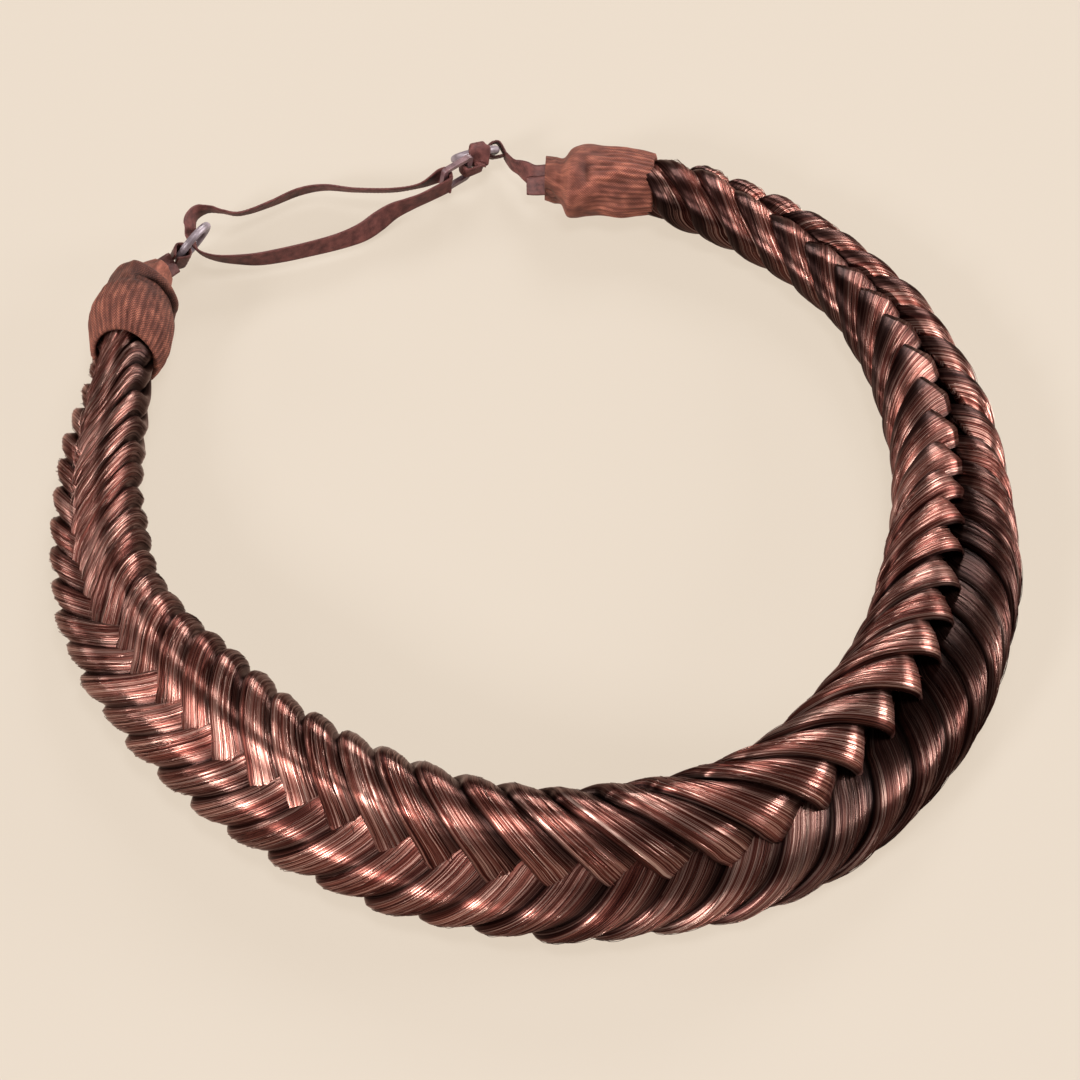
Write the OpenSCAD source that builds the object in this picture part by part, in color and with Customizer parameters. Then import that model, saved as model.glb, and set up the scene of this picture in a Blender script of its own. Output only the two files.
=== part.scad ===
// Braided headband: a closed loop of a fishtail braid, two knitted end sleeves, two metal rings
// and a flat elastic strap. It lies on a surface at z = 0, as it does when it is put down.

/* [Braid] */
// Width of the braid at its widest, from edge to edge
braid_width = 31.6; // [24:0.1:36]
// Thickness of the braid at its thickest
braid_thickness = 18.8; // [14:0.1:22]
// How far a lock runs along the braid on its way from edge to middle, as a share of half the width
lock_advance = 0.9; // [0.5:0.05:1.1]
// Depth of the step between two locks, as a share of the half width and half thickness
lock_relief = 0.14; // [0.04:0.01:0.2]
// Depth of the groove between the two rows, as a share of the half thickness
groove_depth = 0.26; // [0:0.01:0.4]

/* [Sleeves] */
// Thickness of the knitted cloth
sleeve_wall = 1.2; // [0.8:0.1:1.6]
// Depth of the lengthwise creases in the cloth
sleeve_crease = 0.3; // [0:0.05:0.5]

/* [Elastic strap] */
// Width of the elastic
strap_width = 6.2; // [5:0.1:6.4]
// Thickness of the elastic
strap_thickness = 1; // [0.8:0.1:1]
// Width of the elastic where it is gathered at the left ring
strap_gathered = 3.8; // [3:0.1:4]
// Width of the elastic where it passes through the slider
strap_at_slider = 5.8; // [5:0.1:6]

/* [Rings and slider] */
// Outer diameter of each ring
ring_diameter = 11.5; // [11:0.1:12]
// Diameter of the ring wire
ring_wire = 1.8; // [1.4:0.1:1.8]
// Length of the slider, along the strap
slider_length = 8.4; // [8:0.1:9]
// Width of the slider, across the strap
slider_width = 9; // [8.8:0.1:10]
// Width and thickness of the slider's bars
slider_bar = 1.2; // [1:0.1:1.2]

/* [Tabs] */
// Width of the ribbon tab where it passes through its ring
tab_gathered = 3.8; // [3:0.1:4]
// Width of the ribbon tab at its sleeve
tab_width = 6.2; // [5:0.1:6.4]
// Thickness of one layer of the tab
tab_thickness = 0.8; // [0.6:0.1:0.8]

/* [Hidden] */
$fn = 48;

// From the loop's middle to the middle of the part's box
centre = [-1.4, -1.5, 0];

// The loop's path seen from above, counter-clockwise from the left sleeve's neck.
// Columns: angle, radius, half width and half thickness of the braid as shares of the widest,
// roll of the braid's face away from straight up, lift of the axis above lying flat, lock pitch
ANGLE = 0;
RADIUS = 1;
WIDE = 2;
THICK = 3;
ROLL = 4;
LIFT = 5;
PITCH = 6;
PATH = [
    [136, 105.0, 0.40, 0.60, 45, 3.3, 6.0],
    [149, 100.8, 0.42, 0.62, 45, 3.7, 6.0],
    [157, 96.2, 0.46, 0.70, 38, 2.1, 6.3],
    [167, 92.6, 0.53, 0.75, 22, 0.2, 6.8],
    [180, 90.5, 0.62, 0.79, 20, 0.0, 7.2],
    [200, 89.6, 0.77, 0.87, 30, 0.0, 7.9],
    [220, 87.4, 0.93, 0.95, 38, 0.0, 8.8],
    [240, 88.4, 0.96, 0.98, 44, 0.0, 9.7],
    [260, 91.8, 0.97, 0.99, 51, 0.0, 9.9],
    [280, 95.6, 0.98, 1.00, 56, 0.0, 10.3],
    [300, 97.4, 1.00, 1.00, 49, 0.0, 10.7],
    [320, 94.8, 1.01, 0.99, 37, 0.0, 10.0],
    [340, 91.6, 0.97, 0.96, 26, 0.0, 9.7],
    [360, 90.0, 0.82, 0.89, 11, 0.0, 9.9],
    [380, 92.2, 0.71, 0.83, 7, 0.0, 9.9],
    [400, 95.4, 0.56, 0.76, -2, 0.0, 9.4],
    [415, 95.8, 0.52, 0.74, 0, 0.0, 8.0],
    [429, 95.8, 0.51, 0.72, 10, 0.9, 7.4],
    [436, 94.8, 0.43, 0.63, 14, 2.6, 7.2],
    [452, 94.2, 0.40, 0.60, 16, 2.8, 7.0],
];

// The braid runs from inside the left sleeve to inside the right one
braid_from = 151;
braid_to = 436;
braid_sides = 20;
// Rings of points in one lock: where in the lock, from its start at 0, and how high it stands
LOCK = [[0, 0], [0.14, 1], [0.5, 0.9], [0.85, 0.4]];
// Stretch at each end over which the slant of the locks grows from nothing
slant_in = 15;
// Half the width of the groove between the rows, as a share of the half width
groove_reach = 0.3;

// Sleeve sections. Columns: place along the sleeve from its neck at 0 to its mouth at 1,
// half width, half thickness
LEFT_SLEEVE = [
    [0, 4.4, 3.8], [0.08, 4.9, 4.3], [0.2, 6.2, 5.6], [0.32, 8.4, 7.6], [0.48, 9.6, 8.9],
    [0.66, 9.7, 9.1], [0.84, 9.5, 8.9], [1, 9.1, 8.7],
];
RIGHT_SLEEVE = [
    [0, 6.2, 5.2], [0.09, 6.3, 5.4], [0.18, 6.1, 5.2], [0.24, 8.2, 6.9], [0.34, 8.8, 7.9],
    [0.55, 8.9, 8.2], [0.8, 8.7, 8.1], [1, 8.7, 8.1],
];
left_neck = 141.2;
left_mouth = 156.5;
right_neck = 447.5;
right_mouth = 433;
sleeve_sides = 24;
sleeve_creases = 7;
// How far a mouth reaches past its middle on the inner side of the loop
left_mouth_slant = 1.6;
right_mouth_slant = 1.8;
// How far the left mouth is drawn back on its face
left_mouth_rise = 4;

// Metal rings. Middle, direction in which the strap or tab pulls, and the ring's axis
ring_radius = (ring_diameter - ring_wire) / 2;
LEFT_RING = [-74.9, 74, 8.4];
LEFT_PULL = unit([0.55, 0.84, 0]);
LEFT_AXIS = unit([0.77, -0.5, -0.39]);
RIGHT_RING = [-12, 104.5, 5.2];
RIGHT_PULL = unit([0.96, 0.28, 0]);
RIGHT_AXIS = unit([0.22, -0.77, -0.6]);
RIGHT_UP = cross(RIGHT_AXIS, RIGHT_PULL);

// Slider: middle, direction along the strap, and direction across it
SLIDER = [-16.3, 96.1, 7.6];
SLIDER_ALONG = unit([0.775, 0.632, 0]);
SLIDER_ACROSS = unit([0.121, -0.148, 0.982]);
SLIDER_FACE = cross(SLIDER_ALONG, SLIDER_ACROSS);
bar_place = (slider_length - slider_bar) / 2;
near_bar = SLIDER - bar_place * SLIDER_ALONG;
far_bar = SLIDER + bar_place * SLIDER_ALONG;

// A seam laps this much of both ribbon ends, and is this thick
seam_lap = 0.7;
seam_thick = 2 * tab_thickness + 0.6;
seam_tail = 0.2;
// A ribbon's two ends lie this far to each side of its seam's middle
end_side = 0.6 * tab_thickness;
// From a ring's wire to the seam of a tab, and to the seam of the end loop
tab_seam_reach = 4.2;
end_seam_reach = 3.4;

// Radius at which a ribbon goes round a slider bar and round a ring's wire
bar_turn = 1.65;
ring_turn = 2.3;
hook_turn = 2.1;

// The elastic's two long runs. Columns: x, y, z, lean of the ribbon's upper edge away from
// the middle of the loop, in degrees
UPPER_RUN = [
    [-24, 94.6, 6.6, -20], [-30, 93, 6, -32], [-38, 93, 5.4, -34], [-46, 93.4, 5, -32],
    [-55, 90.4, 5, -14], [-62, 87, 5.4, -24], [-67, 86, 6.2, -34], [-71, 85, 7.4, -28],
];
LOWER_RUN = [
    [-70.5, 79, 7.4, -24], [-68.4, 75.4, 6.4, -14], [-64, 73.4, 5.4, 0], [-58, 73.6, 4.8, 6],
    [-50, 75.6, 4.4, 10], [-42, 77.6, 4.4, 18], [-35, 80.4, 4.8, 24], [-29.5, 85.4, 5.6, 10],
    [-24.4, 89.6, 6.6, -6],
];
smoothing = 3;

function unit(v) = v / norm(v);
function blend(a, b, t) = a + (b - a) * t;
function smooth(t) = let (c = min(1, max(0, t))) c * c * (3 - 2 * c);

// Row of a table that holds place x, and a smooth curve through its column
function row_at(table, x, i = 0) =
    i >= len(table) - 2 || x < table[i + 1][0] ? i : row_at(table, x, i + 1);
function slope(table, i, col) =
    let (a = max(0, i - 1), b = min(len(table) - 1, i + 1))
    (table[b][col] - table[a][col]) / (table[b][0] - table[a][0]);
function at(table, x, col) =
    let (i = row_at(table, x),
         gap = table[i + 1][0] - table[i][0],
         t = (x - table[i][0]) / gap)
    table[i][col] * (1 + 2 * t) * (1 - t) ^ 2 + slope(table, i, col) * gap * t * (1 - t) ^ 2
    + table[i + 1][col] * (3 - 2 * t) * t ^ 2 + slope(table, i + 1, col) * gap * (t - 1) * t ^ 2;

// Half width and half thickness of the braid, and height of its axis over the surface
function half_width(angle) = at(PATH, angle, WIDE) * braid_width / 2;
function half_thick(angle) = at(PATH, angle, THICK) * braid_thickness / 2;
function axis_height(angle) =
    let (roll = at(PATH, angle, ROLL))
    norm([half_width(angle) * sin(roll), half_thick(angle) * cos(roll)])
    + at(PATH, angle, LIFT);

// Point of the section at this angle of the path, across and up in the rolled section
function on_section(angle, across, up) =
    let (roll = at(PATH, angle, ROLL),
         out = at(PATH, angle, RADIUS) + across * cos(roll) + up * sin(roll))
    [out * cos(angle), out * sin(angle),
     axis_height(angle) - across * sin(roll) + up * cos(roll)];
function degrees_for(angle, length) = length / at(PATH, angle, RADIUS) * 180 / PI;

// Joins rings of points into one closed skin. Each ring turns clockwise about the way they go
module skin(rings, loop = false) {
    n = len(rings[0]);
    last = len(rings) - 1;
    points = [for (ring = rings) for (p = ring) p];
    function id(i, j) = (i % len(rings)) * n + j % n;
    sides = [for (i = [0:loop ? last : last - 1]) for (j = [0:n - 1])
        for (f = [[id(i, j), id(i, j + 1), id(i + 1, j + 1)],
                  [id(i, j), id(i + 1, j + 1), id(i + 1, j)]]) f];
    caps = loop ? [] : [[for (j = [0:n - 1]) id(0, n - 1 - j)],
                        [for (j = [0:n - 1]) id(last, j)]];
    polyhedron(points, concat(sides, caps), convexity = 10);
}

// Braid: each ring of points follows the slant of the locks, forward on the face and back
// underneath, and the two rows are half a lock apart
lock_starts = [for (a = braid_from; a < braid_to; a = a + degrees_for(a, at(PATH, a, PITCH))) a];

function braid_ring(angle, rise) =
    let (pitch = at(PATH, angle, PITCH),
         advance = lock_advance * half_width(angle),
         slant = smooth(degrees_from_end(angle) / slant_in))
    [for (j = [0:braid_sides - 1])
        let (turn = 360 * j / braid_sides,
             side = cos(turn),
             face = sin(turn),
             forward = sign(face) * advance * (1 - abs(side)) + sign(side) * pitch / 4,
             here = angle + slant * degrees_for(angle, forward),
             low = 1 - lock_relief * (1 - rise),
             groove = 1 - groove_depth * max(0, 1 - abs(side) / groove_reach))
        on_section(here, half_width(here) * side * low, half_thick(here) * face * low * groove)];
function degrees_from_end(angle) = min(angle - lock_starts[0], last_lock - angle);
last_lock = lock_starts[len(lock_starts) - 1];

module braid() {
    rings = concat(
        [for (k = [0:len(lock_starts) - 2]) for (step = LOCK)
            braid_ring(blend(lock_starts[k], lock_starts[k + 1], step[0]), step[1])],
        [braid_ring(last_lock, 0)]);
    color([0.35, 0.18, 0.15]) skin(rings);
}

// Sleeve: knitted tube, wide over the braid's end and drawn in to a neck round the tab
function sleeve_ring(table, neck, mouth, t, wall, slant, rise) =
    [for (j = [0:sleeve_sides - 1])
        let (turn = 360 * j / sleeve_sides,
             crease = sleeve_crease * cos(turn * sleeve_creases + 90 * t),
             angle = blend(neck, mouth, t),
             reach = -slant * cos(turn) - rise * max(0, sin(turn)),
             here = angle + degrees_for(angle, sign(mouth - neck) * reach * t ^ 3),
             wide = at(table, t, 1) - wall + crease,
             thick = at(table, t, 2) - wall + crease)
        on_section(here, wide * cos(turn), thick * sin(turn))];

module sleeve(table, neck, mouth, slant = 0, rise = 0) {
    steps = [for (row = table) row[0]];
    places = mouth > neck ? steps : [for (i = [len(steps) - 1:-1:0]) steps[i]];
    outer = [for (t = places) sleeve_ring(table, neck, mouth, t, 0, slant, rise)];
    inner = [for (i = [len(places) - 1:-1:0])
        sleeve_ring(table, neck, mouth, places[i], sleeve_wall, slant, rise)];
    color([0.62, 0.36, 0.28]) skin(concat(outer, inner), loop = true);
}

module sleeve_left()
    sleeve(LEFT_SLEEVE, left_neck, left_mouth, left_mouth_slant, left_mouth_rise);
module sleeve_right() sleeve(RIGHT_SLEEVE, right_neck, right_mouth, right_mouth_slant);

// Ribbon: flat section carried along points, with the direction and width of the ribbon at each
module ribbon(points, across, widths, thickness, loop = false) {
    n = len(points);
    rings = [for (i = [0:n - 1])
        let (before = points[loop ? (i + n - 1) % n : max(0, i - 1)],
             after = points[loop ? (i + 1) % n : min(n - 1, i + 1)],
             along = unit(after - before),
             wide = unit(across[i] - (across[i] * along) * along),
             face = cross(wide, along),
             w = wide * widths[i] / 2,
             t = face * thickness / 2)
        [points[i] + w + t, points[i] - w + t, points[i] - w - t, points[i] + w - t]];
    skin(rings, loop);
}

// Points of a ribbon's turn round a bar or wire: from the side it pulls to, round, and back
function turn_points(middle, pull, side, radius) =
    [for (a = [-90:36:90]) middle + radius * (sin(a) * side - cos(a) * pull)];

// Ribbon that leaves a seam, goes round a bar or wire and comes back beside itself to the seam
module eye(middle, seam, across, radius, width) {
    pull = unit(seam - middle);
    wide = unit(across - (across * pull) * pull);
    side = cross(wide, pull);
    ends = [for (s = [-1, 1]) seam + s * end_side * side];
    points = concat([ends[0]], turn_points(middle, pull, side, radius), [ends[1]]);
    ribbon(points, [for (p = points) wide], [for (p = points) width], tab_thickness);
}

// Sewn place that holds both ends of an eye
module seam_block(middle, seam, across, width) {
    pull = unit(seam - middle);
    wide = unit(across - (across * pull) * pull);
    ribbon([seam - seam_lap * pull, seam + seam_tail * pull], [wide, wide], [width, width],
           seam_thick);
}

// Tab: a ribbon round the ring's wire, sewn to itself and held in the sleeve's neck
module tab(wire, across, route, lean, widths) {
    seam = route[0];
    outward = [for (i = [0:len(route) - 1]) leaned(route, i, lean[i])];
    stem = concat([seam + seam_lap * unit(wire - seam)], [for (i = [1:len(route) - 1]) route[i]]);
    color([0.4, 0.24, 0.24]) {
        eye(wire, seam, across, hook_turn, tab_gathered);
        ribbon(stem, concat([across], [for (i = [1:len(route) - 1]) outward[i]]), widths,
               seam_thick);
    }
}

// Direction across a ribbon on a route, from how far its upper edge leans away from the middle
function leaned(route, i, lean) =
    let (before = route[max(0, i - 1)],
         after = route[min(len(route) - 1, i + 1)],
         flat = unit([after[0] - before[0], after[1] - before[1], 0]),
         level = cross(flat, [0, 0, 1]),
         out = level * route[i] > 0 ? level : -level)
    cos(lean) * [0, 0, 1] + sin(lean) * out;

left_tab_wire = LEFT_RING - ring_radius * LEFT_PULL;
LEFT_TAB = [left_tab_wire - tab_seam_reach * LEFT_PULL, on_section(142, 0, 0),
            on_section(146, 0, 0)];
right_tab_wire = RIGHT_RING + ring_radius * RIGHT_PULL;
// Angle at which the right tab leaves its ring's plane
right_tab_turn = 40;
RIGHT_TAB = [
    right_tab_wire + tab_seam_reach * (cos(right_tab_turn) * RIGHT_PULL
                                       + sin(right_tab_turn) * RIGHT_AXIS), [-1, 100.4, 5.4],
    [1.4, 96.8, 7], on_section(447, 0, 0), on_section(442, 0, 0),
];

module tab_left()
    tab(left_tab_wire, cross(LEFT_AXIS, LEFT_PULL), LEFT_TAB, [-20, -42, -45],
        [tab_gathered, 4.4, 4.4]);
module tab_right()
    tab(right_tab_wire, RIGHT_UP, RIGHT_TAB, [-34, -10, 24, 40, 40],
        [tab_gathered, 5.0, tab_width, tab_width, tab_width]);

module metal_ring(middle, pull, axis) {
    up = cross(axis, pull);
    color([0.8, 0.74, 0.76])
        multmatrix([[pull[0], up[0], axis[0], middle[0]],
                    [pull[1], up[1], axis[1], middle[1]],
                    [pull[2], up[2], axis[2], middle[2]],
                    [0, 0, 0, 1]])
            rotate_extrude() translate([ring_radius, 0]) circle(d = ring_wire);
}

module ring_left() metal_ring(LEFT_RING, LEFT_PULL, LEFT_AXIS);
module ring_right() metal_ring(RIGHT_RING, RIGHT_PULL, RIGHT_AXIS);

module rounded_plate(length, width, corner) {
    square([length - 2 * corner, width], center = true);
    square([length, width - 2 * corner], center = true);
    for (x = [-1, 1], y = [-1, 1])
        translate([x * (length / 2 - corner), y * (width / 2 - corner)]) circle(r = corner);
}

module slider() {
    color([0.3, 0.17, 0.17])
        multmatrix([[SLIDER_ALONG[0], SLIDER_ACROSS[0], SLIDER_FACE[0], SLIDER[0]],
                    [SLIDER_ALONG[1], SLIDER_ACROSS[1], SLIDER_FACE[1], SLIDER[1]],
                    [SLIDER_ALONG[2], SLIDER_ACROSS[2], SLIDER_FACE[2], SLIDER[2]],
                    [0, 0, 0, 1]])
            translate([0, 0, -slider_bar / 2])
                linear_extrude(slider_bar)
                    difference() {
                        rounded_plate(slider_length, slider_width, slider_bar);
                        square([slider_length - 2 * slider_bar, slider_width - 2 * slider_bar],
                               center = true);
                    }
}

// Short loop from the slider to the right ring, sewn together between the two
hook_wire = RIGHT_RING + ring_radius * RIGHT_UP;
end_seam = hook_wire + end_seam_reach * RIGHT_AXIS;
end_loop_width = 3.8;
end_block_width = 3;

module end_loop() {
    color([0.33, 0.19, 0.2]) {
        eye(far_bar, end_seam, SLIDER_ACROSS, bar_turn, end_loop_width);
        eye(hook_wire, end_seam, RIGHT_PULL, hook_turn, end_loop_width);
        hull() {
            seam_block(far_bar, end_seam, SLIDER_ACROSS, end_block_width);
            seam_block(hook_wire, end_seam, RIGHT_PULL, end_block_width);
        }
    }
}

// Elastic: one band from the slider's near bar to the left ring and back
strap_wire = LEFT_RING + ring_radius * LEFT_PULL;
LEFT_UP = cross(LEFT_AXIS, LEFT_PULL);

function run_points(run) = [for (row = run) [row[0], row[1], row[2]]];
function run_across(run) =
    let (points = run_points(run)) [for (i = [0:len(run) - 1]) leaned(points, i, run[i][3])];

slider_turn = turn_points(near_bar, -SLIDER_ALONG, -SLIDER_FACE, bar_turn);
left_turn = turn_points(strap_wire, LEFT_PULL, LEFT_AXIS, ring_turn);
strap_points = concat(slider_turn, run_points(UPPER_RUN), left_turn, run_points(LOWER_RUN));
strap_across = concat([for (p = slider_turn) SLIDER_ACROSS], run_across(UPPER_RUN),
                      [for (p = left_turn) LEFT_UP], run_across(LOWER_RUN));
strap_widths = concat([for (p = slider_turn) strap_at_slider],
                      [for (row = UPPER_RUN) strap_width], [for (p = left_turn) strap_gathered],
                      [for (row = LOWER_RUN) strap_width]);

// Smooth closed curve through a list of points or sizes, with some places between each two
function curve(list, i, t) =
    let (n = len(list), p0 = list[(i + n - 1) % n], p1 = list[i], p2 = list[(i + 1) % n],
         p3 = list[(i + 2) % n])
    (2 * p1 + (p2 - p0) * t + (2 * p0 - 5 * p1 + 4 * p2 - p3) * t ^ 2
     + (3 * p1 - p0 - 3 * p2 + p3) * t ^ 3) / 2;
function smoothed(list) =
    [for (i = [0:len(list) - 1]) for (k = [0:smoothing - 1]) curve(list, i, k / smoothing)];

module strap() {
    color([0.45, 0.27, 0.27])
        ribbon(smoothed(strap_points), smoothed(strap_across), smoothed(strap_widths),
               strap_thickness, loop = true);
}

translate(centre) braid();
translate(centre) sleeve_left();
translate(centre) sleeve_right();
translate(centre) tab_left();
translate(centre) tab_right();
translate(centre) ring_left();
translate(centre) ring_right();
translate(centre) slider();
translate(centre) end_loop();
translate(centre) strap();
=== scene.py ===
"""Braided headband: glossy fishtail braid of brown synthetic hair with knitted end sleeves, two metal
rings and an adjustable elastic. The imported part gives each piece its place; this file dresses it."""

import math

import bpy
import numpy as np
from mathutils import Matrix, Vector


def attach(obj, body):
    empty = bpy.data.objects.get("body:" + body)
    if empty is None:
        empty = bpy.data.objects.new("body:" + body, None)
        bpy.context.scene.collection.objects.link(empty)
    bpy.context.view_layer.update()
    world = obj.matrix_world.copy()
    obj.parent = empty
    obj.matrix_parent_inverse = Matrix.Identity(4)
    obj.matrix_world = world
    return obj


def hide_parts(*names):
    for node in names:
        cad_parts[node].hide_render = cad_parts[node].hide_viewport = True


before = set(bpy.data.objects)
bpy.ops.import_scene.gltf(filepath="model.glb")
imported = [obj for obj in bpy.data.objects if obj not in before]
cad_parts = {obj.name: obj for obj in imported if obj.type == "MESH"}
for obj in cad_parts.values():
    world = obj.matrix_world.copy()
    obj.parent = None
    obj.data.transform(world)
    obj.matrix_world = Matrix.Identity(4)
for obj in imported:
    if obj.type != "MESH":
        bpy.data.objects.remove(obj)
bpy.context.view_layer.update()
MM = 0.001

# Places below are worked out from the loop's middle, in mm; this moves them to the part's origin
CENTRE = Vector((-1.4, -1.5, 0.0))

# The braid at its widest and thickest, in mm, and the angles of the path between which its hair shows
BRAID_WIDTH = 31.6
BRAID_THICKNESS = 18.8
BRAID_FROM = 151.0
BRAID_TO = 436.0

# The loop's path seen from above, counter-clockwise from the left sleeve's neck. Columns:
# angle, radius, half width and half thickness as shares of the widest, roll of the face, lift,
# lock pitch, how far a lock runs along the braid as a share of the half width, whether the newer
# lock lies on top (1) or under (0), how open the middle is, how far the outer ends are petals, how
# far the line between the rows moves outwards as a share of the half width
RADIUS, WIDE, THICK, ROLL, LIFT, PITCH, ADVANCE, OVER, OPEN, PETAL, SHIFT = range(1, 12)
PATH = [
    (136, 105.0, 0.40, 0.60, 45, 3.3, 6.0, 2.1, 1.0, 0.0, 0.0, 0.5),
    (149, 100.8, 0.42, 0.64, 45, 3.7, 6.0, 2.1, 1.0, 0.0, 0.0, 0.5),
    (157, 96.2, 0.455, 0.69, 38, 2.1, 6.3, 2.1, 1.0, 0.0, 0.0, 0.46),
    (167, 92.6, 0.53, 0.75, 22, 0.2, 6.8, 2.1, 1.0, 0.0, 0.0, 0.32),
    (180, 90.5, 0.62, 0.79, 20, 0.0, 7.2, 1.7, 1.0, 0.0, 0.0, 0.2),
    (200, 89.6, 0.77, 0.87, 30, 0.0, 7.9, 1.0, 1.0, 0.0, 0.0, 0.0),
    (220, 87.4, 0.93, 0.95, 38, 0.0, 8.8, 0.9, 1.0, 0.0, 0.0, 0.0),
    (240, 88.4, 0.96, 0.98, 44, 0.0, 9.7, 0.9, 1.0, 0.0, 0.0, 0.0),
    (260, 91.8, 0.97, 0.99, 51, 0.0, 9.9, 0.95, 1.0, 0.1, 0.0, 0.0),
    (280, 95.6, 0.98, 1.00, 56, 0.0, 10.3, 1.0, 1.0, 0.45, 0.0, 0.0),
    (300, 97.4, 1.00, 1.00, 49, 0.0, 10.7, 1.0, 1.0, 1.0, 0.0, 0.0),
    (320, 94.8, 1.01, 0.99, 37, 0.0, 10.0, 1.0, 1.0, 1.0, 0.0, 0.0),
    (340, 91.6, 0.97, 0.96, 26, 0.0, 9.7, 1.0, 1.0, 1.0, 0.1, 0.0),
    (360, 90.0, 0.82, 0.89, 11, 0.0, 9.9, 1.1, 0.3, 1.0, 0.9, 0.0),
    (380, 92.2, 0.71, 0.83, 7, 0.0, 9.9, 1.3, 0.0, 0.9, 1.0, 0.0),
    (400, 95.4, 0.56, 0.76, -2, 0.0, 9.8, 1.4, 0.0, 0.7, 0.8, 0.05),
    (415, 95.8, 0.53, 0.76, 0, 0.0, 9.6, 1.15, 0.0, 0.5, 0.5, 0.5),
    (429, 95.8, 0.52, 0.76, 10, 0.9, 9.4, 1.0, 0.0, 0.4, 0.3, 0.72),
    (436, 94.8, 0.37, 0.62, 14, 2.6, 9.2, 1.0, 0.0, 0.4, 0.3, 0.75),
    (452, 94.2, 0.34, 0.55, 16, 2.8, 9.2, 1.0, 0.0, 0.4, 0.3, 0.75),
]

# How far the hair's middle lies outwards of the path near the sleeves. Columns: angle, mm
HAIR_SHIFT = [
    (130, -0.8), (157, -0.8), (172, 0), (290, 0), (405, 0), (429, 0.9), (436, 1.5), (456, 1.5),
]

# Where the camera stands and what it looks at, its lens and the width of its sensor, all in mm
CAMERA_AT = Vector((1.5, -473.5, 599.0))
LOOKS_AT = Vector((1.5, -11.7, 8.0))
LENS = 119.25
SENSOR = 36
# Direction towards the camera, and the direction that the camera sees as straight up
TO_CAMERA = (CAMERA_AT - LOOKS_AT).normalized()
SEEN_UP = TO_CAMERA.cross(Vector((1, 0, 0)))


def slope(table, i, col):
    """Slope of one column of a table at a row, from the rows on each side of it."""
    a = max(0, i - 1)
    b = min(len(table) - 1, i + 1)
    return (table[b][col] - table[a][col]) / (table[b][0] - table[a][0])


def at(table, x, col):
    """Smooth curve through one column of a table."""
    i = 0
    while i < len(table) - 2 and x >= table[i + 1][0]:
        i += 1
    gap = table[i + 1][0] - table[i][0]
    t = (x - table[i][0]) / gap
    start = table[i][col] * (1 + 2 * t) * (1 - t) ** 2 + slope(table, i, col) * gap * t * (1 - t) ** 2
    end = table[i + 1][col] * (3 - 2 * t) * t**2 + slope(table, i + 1, col) * gap * (t - 1) * t**2
    return start + end


def section(angle):
    """Middle, direction across, direction up, half width and half thickness of the braid, in mm."""
    roll = math.radians(at(PATH, angle, ROLL))
    wide = at(PATH, angle, WIDE) * BRAID_WIDTH / 2
    thick = at(PATH, angle, THICK) * BRAID_THICKNESS / 2
    height = math.hypot(wide * math.sin(roll), thick * math.cos(roll)) + at(PATH, angle, LIFT)
    turn = math.radians(angle)
    out = Vector((math.cos(turn), math.sin(turn), 0))
    middle = out * at(PATH, angle, RADIUS) + Vector((0, 0, height))
    across = out * math.cos(roll) - Vector((0, 0, math.sin(roll)))
    up = out * math.sin(roll) + Vector((0, 0, math.cos(roll)))
    return middle, across, up, wide, thick


def new_piece(name, mesh):
    """A mesh as an object of the scene, at the origin."""
    piece = bpy.data.objects.new(name, mesh)
    bpy.context.scene.collection.objects.link(piece)
    return piece


def keep(mesh, label, values):
    """Puts a number, or a vector, on each point of a mesh."""
    values = np.array(values, dtype=np.float32)
    kind, item = ("FLOAT", "value") if values.ndim == 1 else ("FLOAT_VECTOR", "vector")
    layer = mesh.attributes.new(label, kind, "POINT")
    layer.data.foreach_set(item, values.ravel())


def unit(vector):
    """Direction of length 1."""
    return Vector(vector).normalized()


def on_section(angle, across, up):
    """Point of the rolled section at this angle of the path, in mm."""
    middle, out, top, _, _ = section(angle)
    return middle + out * across + top * up


def degrees_for(angle, length):
    """Degrees of the path that a length in mm takes up at this angle."""
    return math.degrees(length / at(PATH, angle, RADIUS))


def smooth_list(values, steps, closed):
    """Smooth curve through a list of points, with some places between each two."""
    values = np.array([tuple(v) for v in values], dtype=float)
    count = len(values)
    rows = []
    for i in range(count if closed else count - 1):
        near = [(i + k) % count if closed else min(count - 1, max(0, i + k)) for k in (-1, 0, 1, 2)]
        a, b, c, d = values[near]
        for t in np.arange(steps) / steps:
            bend = (2 * a - 5 * b + 4 * c - d) * t**2 + (3 * b - a - 3 * c + d) * t**3
            rows.append((2 * b + (c - a) * t + bend) / 2)
    if not closed:
        rows.append(values[-1])
    return np.array(rows)


def grid_skin(rings, uvs, closed):
    """Closed skin over rings of points: points, faces and a UV for each point of a face."""
    count, n = rings.shape[:2]
    faces = []
    corners = []
    for i in range(count if closed else count - 1):
        nxt = (i + 1) % count
        for j in range(n):
            k = (j + 1) % n
            faces.append((i * n + j, nxt * n + j, nxt * n + k, i * n + k))
            here, there = uvs[i], uvs[i + 1]
            wrap = k if k else n
            corners += [here[j], there[j], there[wrap], here[wrap]]
    return rings.reshape(-1, 3), faces, corners


def outward(points, faces, corners):
    """Turns all faces of a closed body round if they face inwards."""
    volume = 0.0
    for face in faces:
        for b, c in zip(face[1:-1], face[2:]):
            volume += np.dot(points[face[0]], np.cross(points[b], points[c]))
    if volume > 0:
        return points, faces, corners
    turned = []
    start = 0
    for face in faces:
        turned += corners[start:start + len(face)][::-1]
        start += len(face)
    return points, [face[::-1] for face in faces], turned


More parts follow.
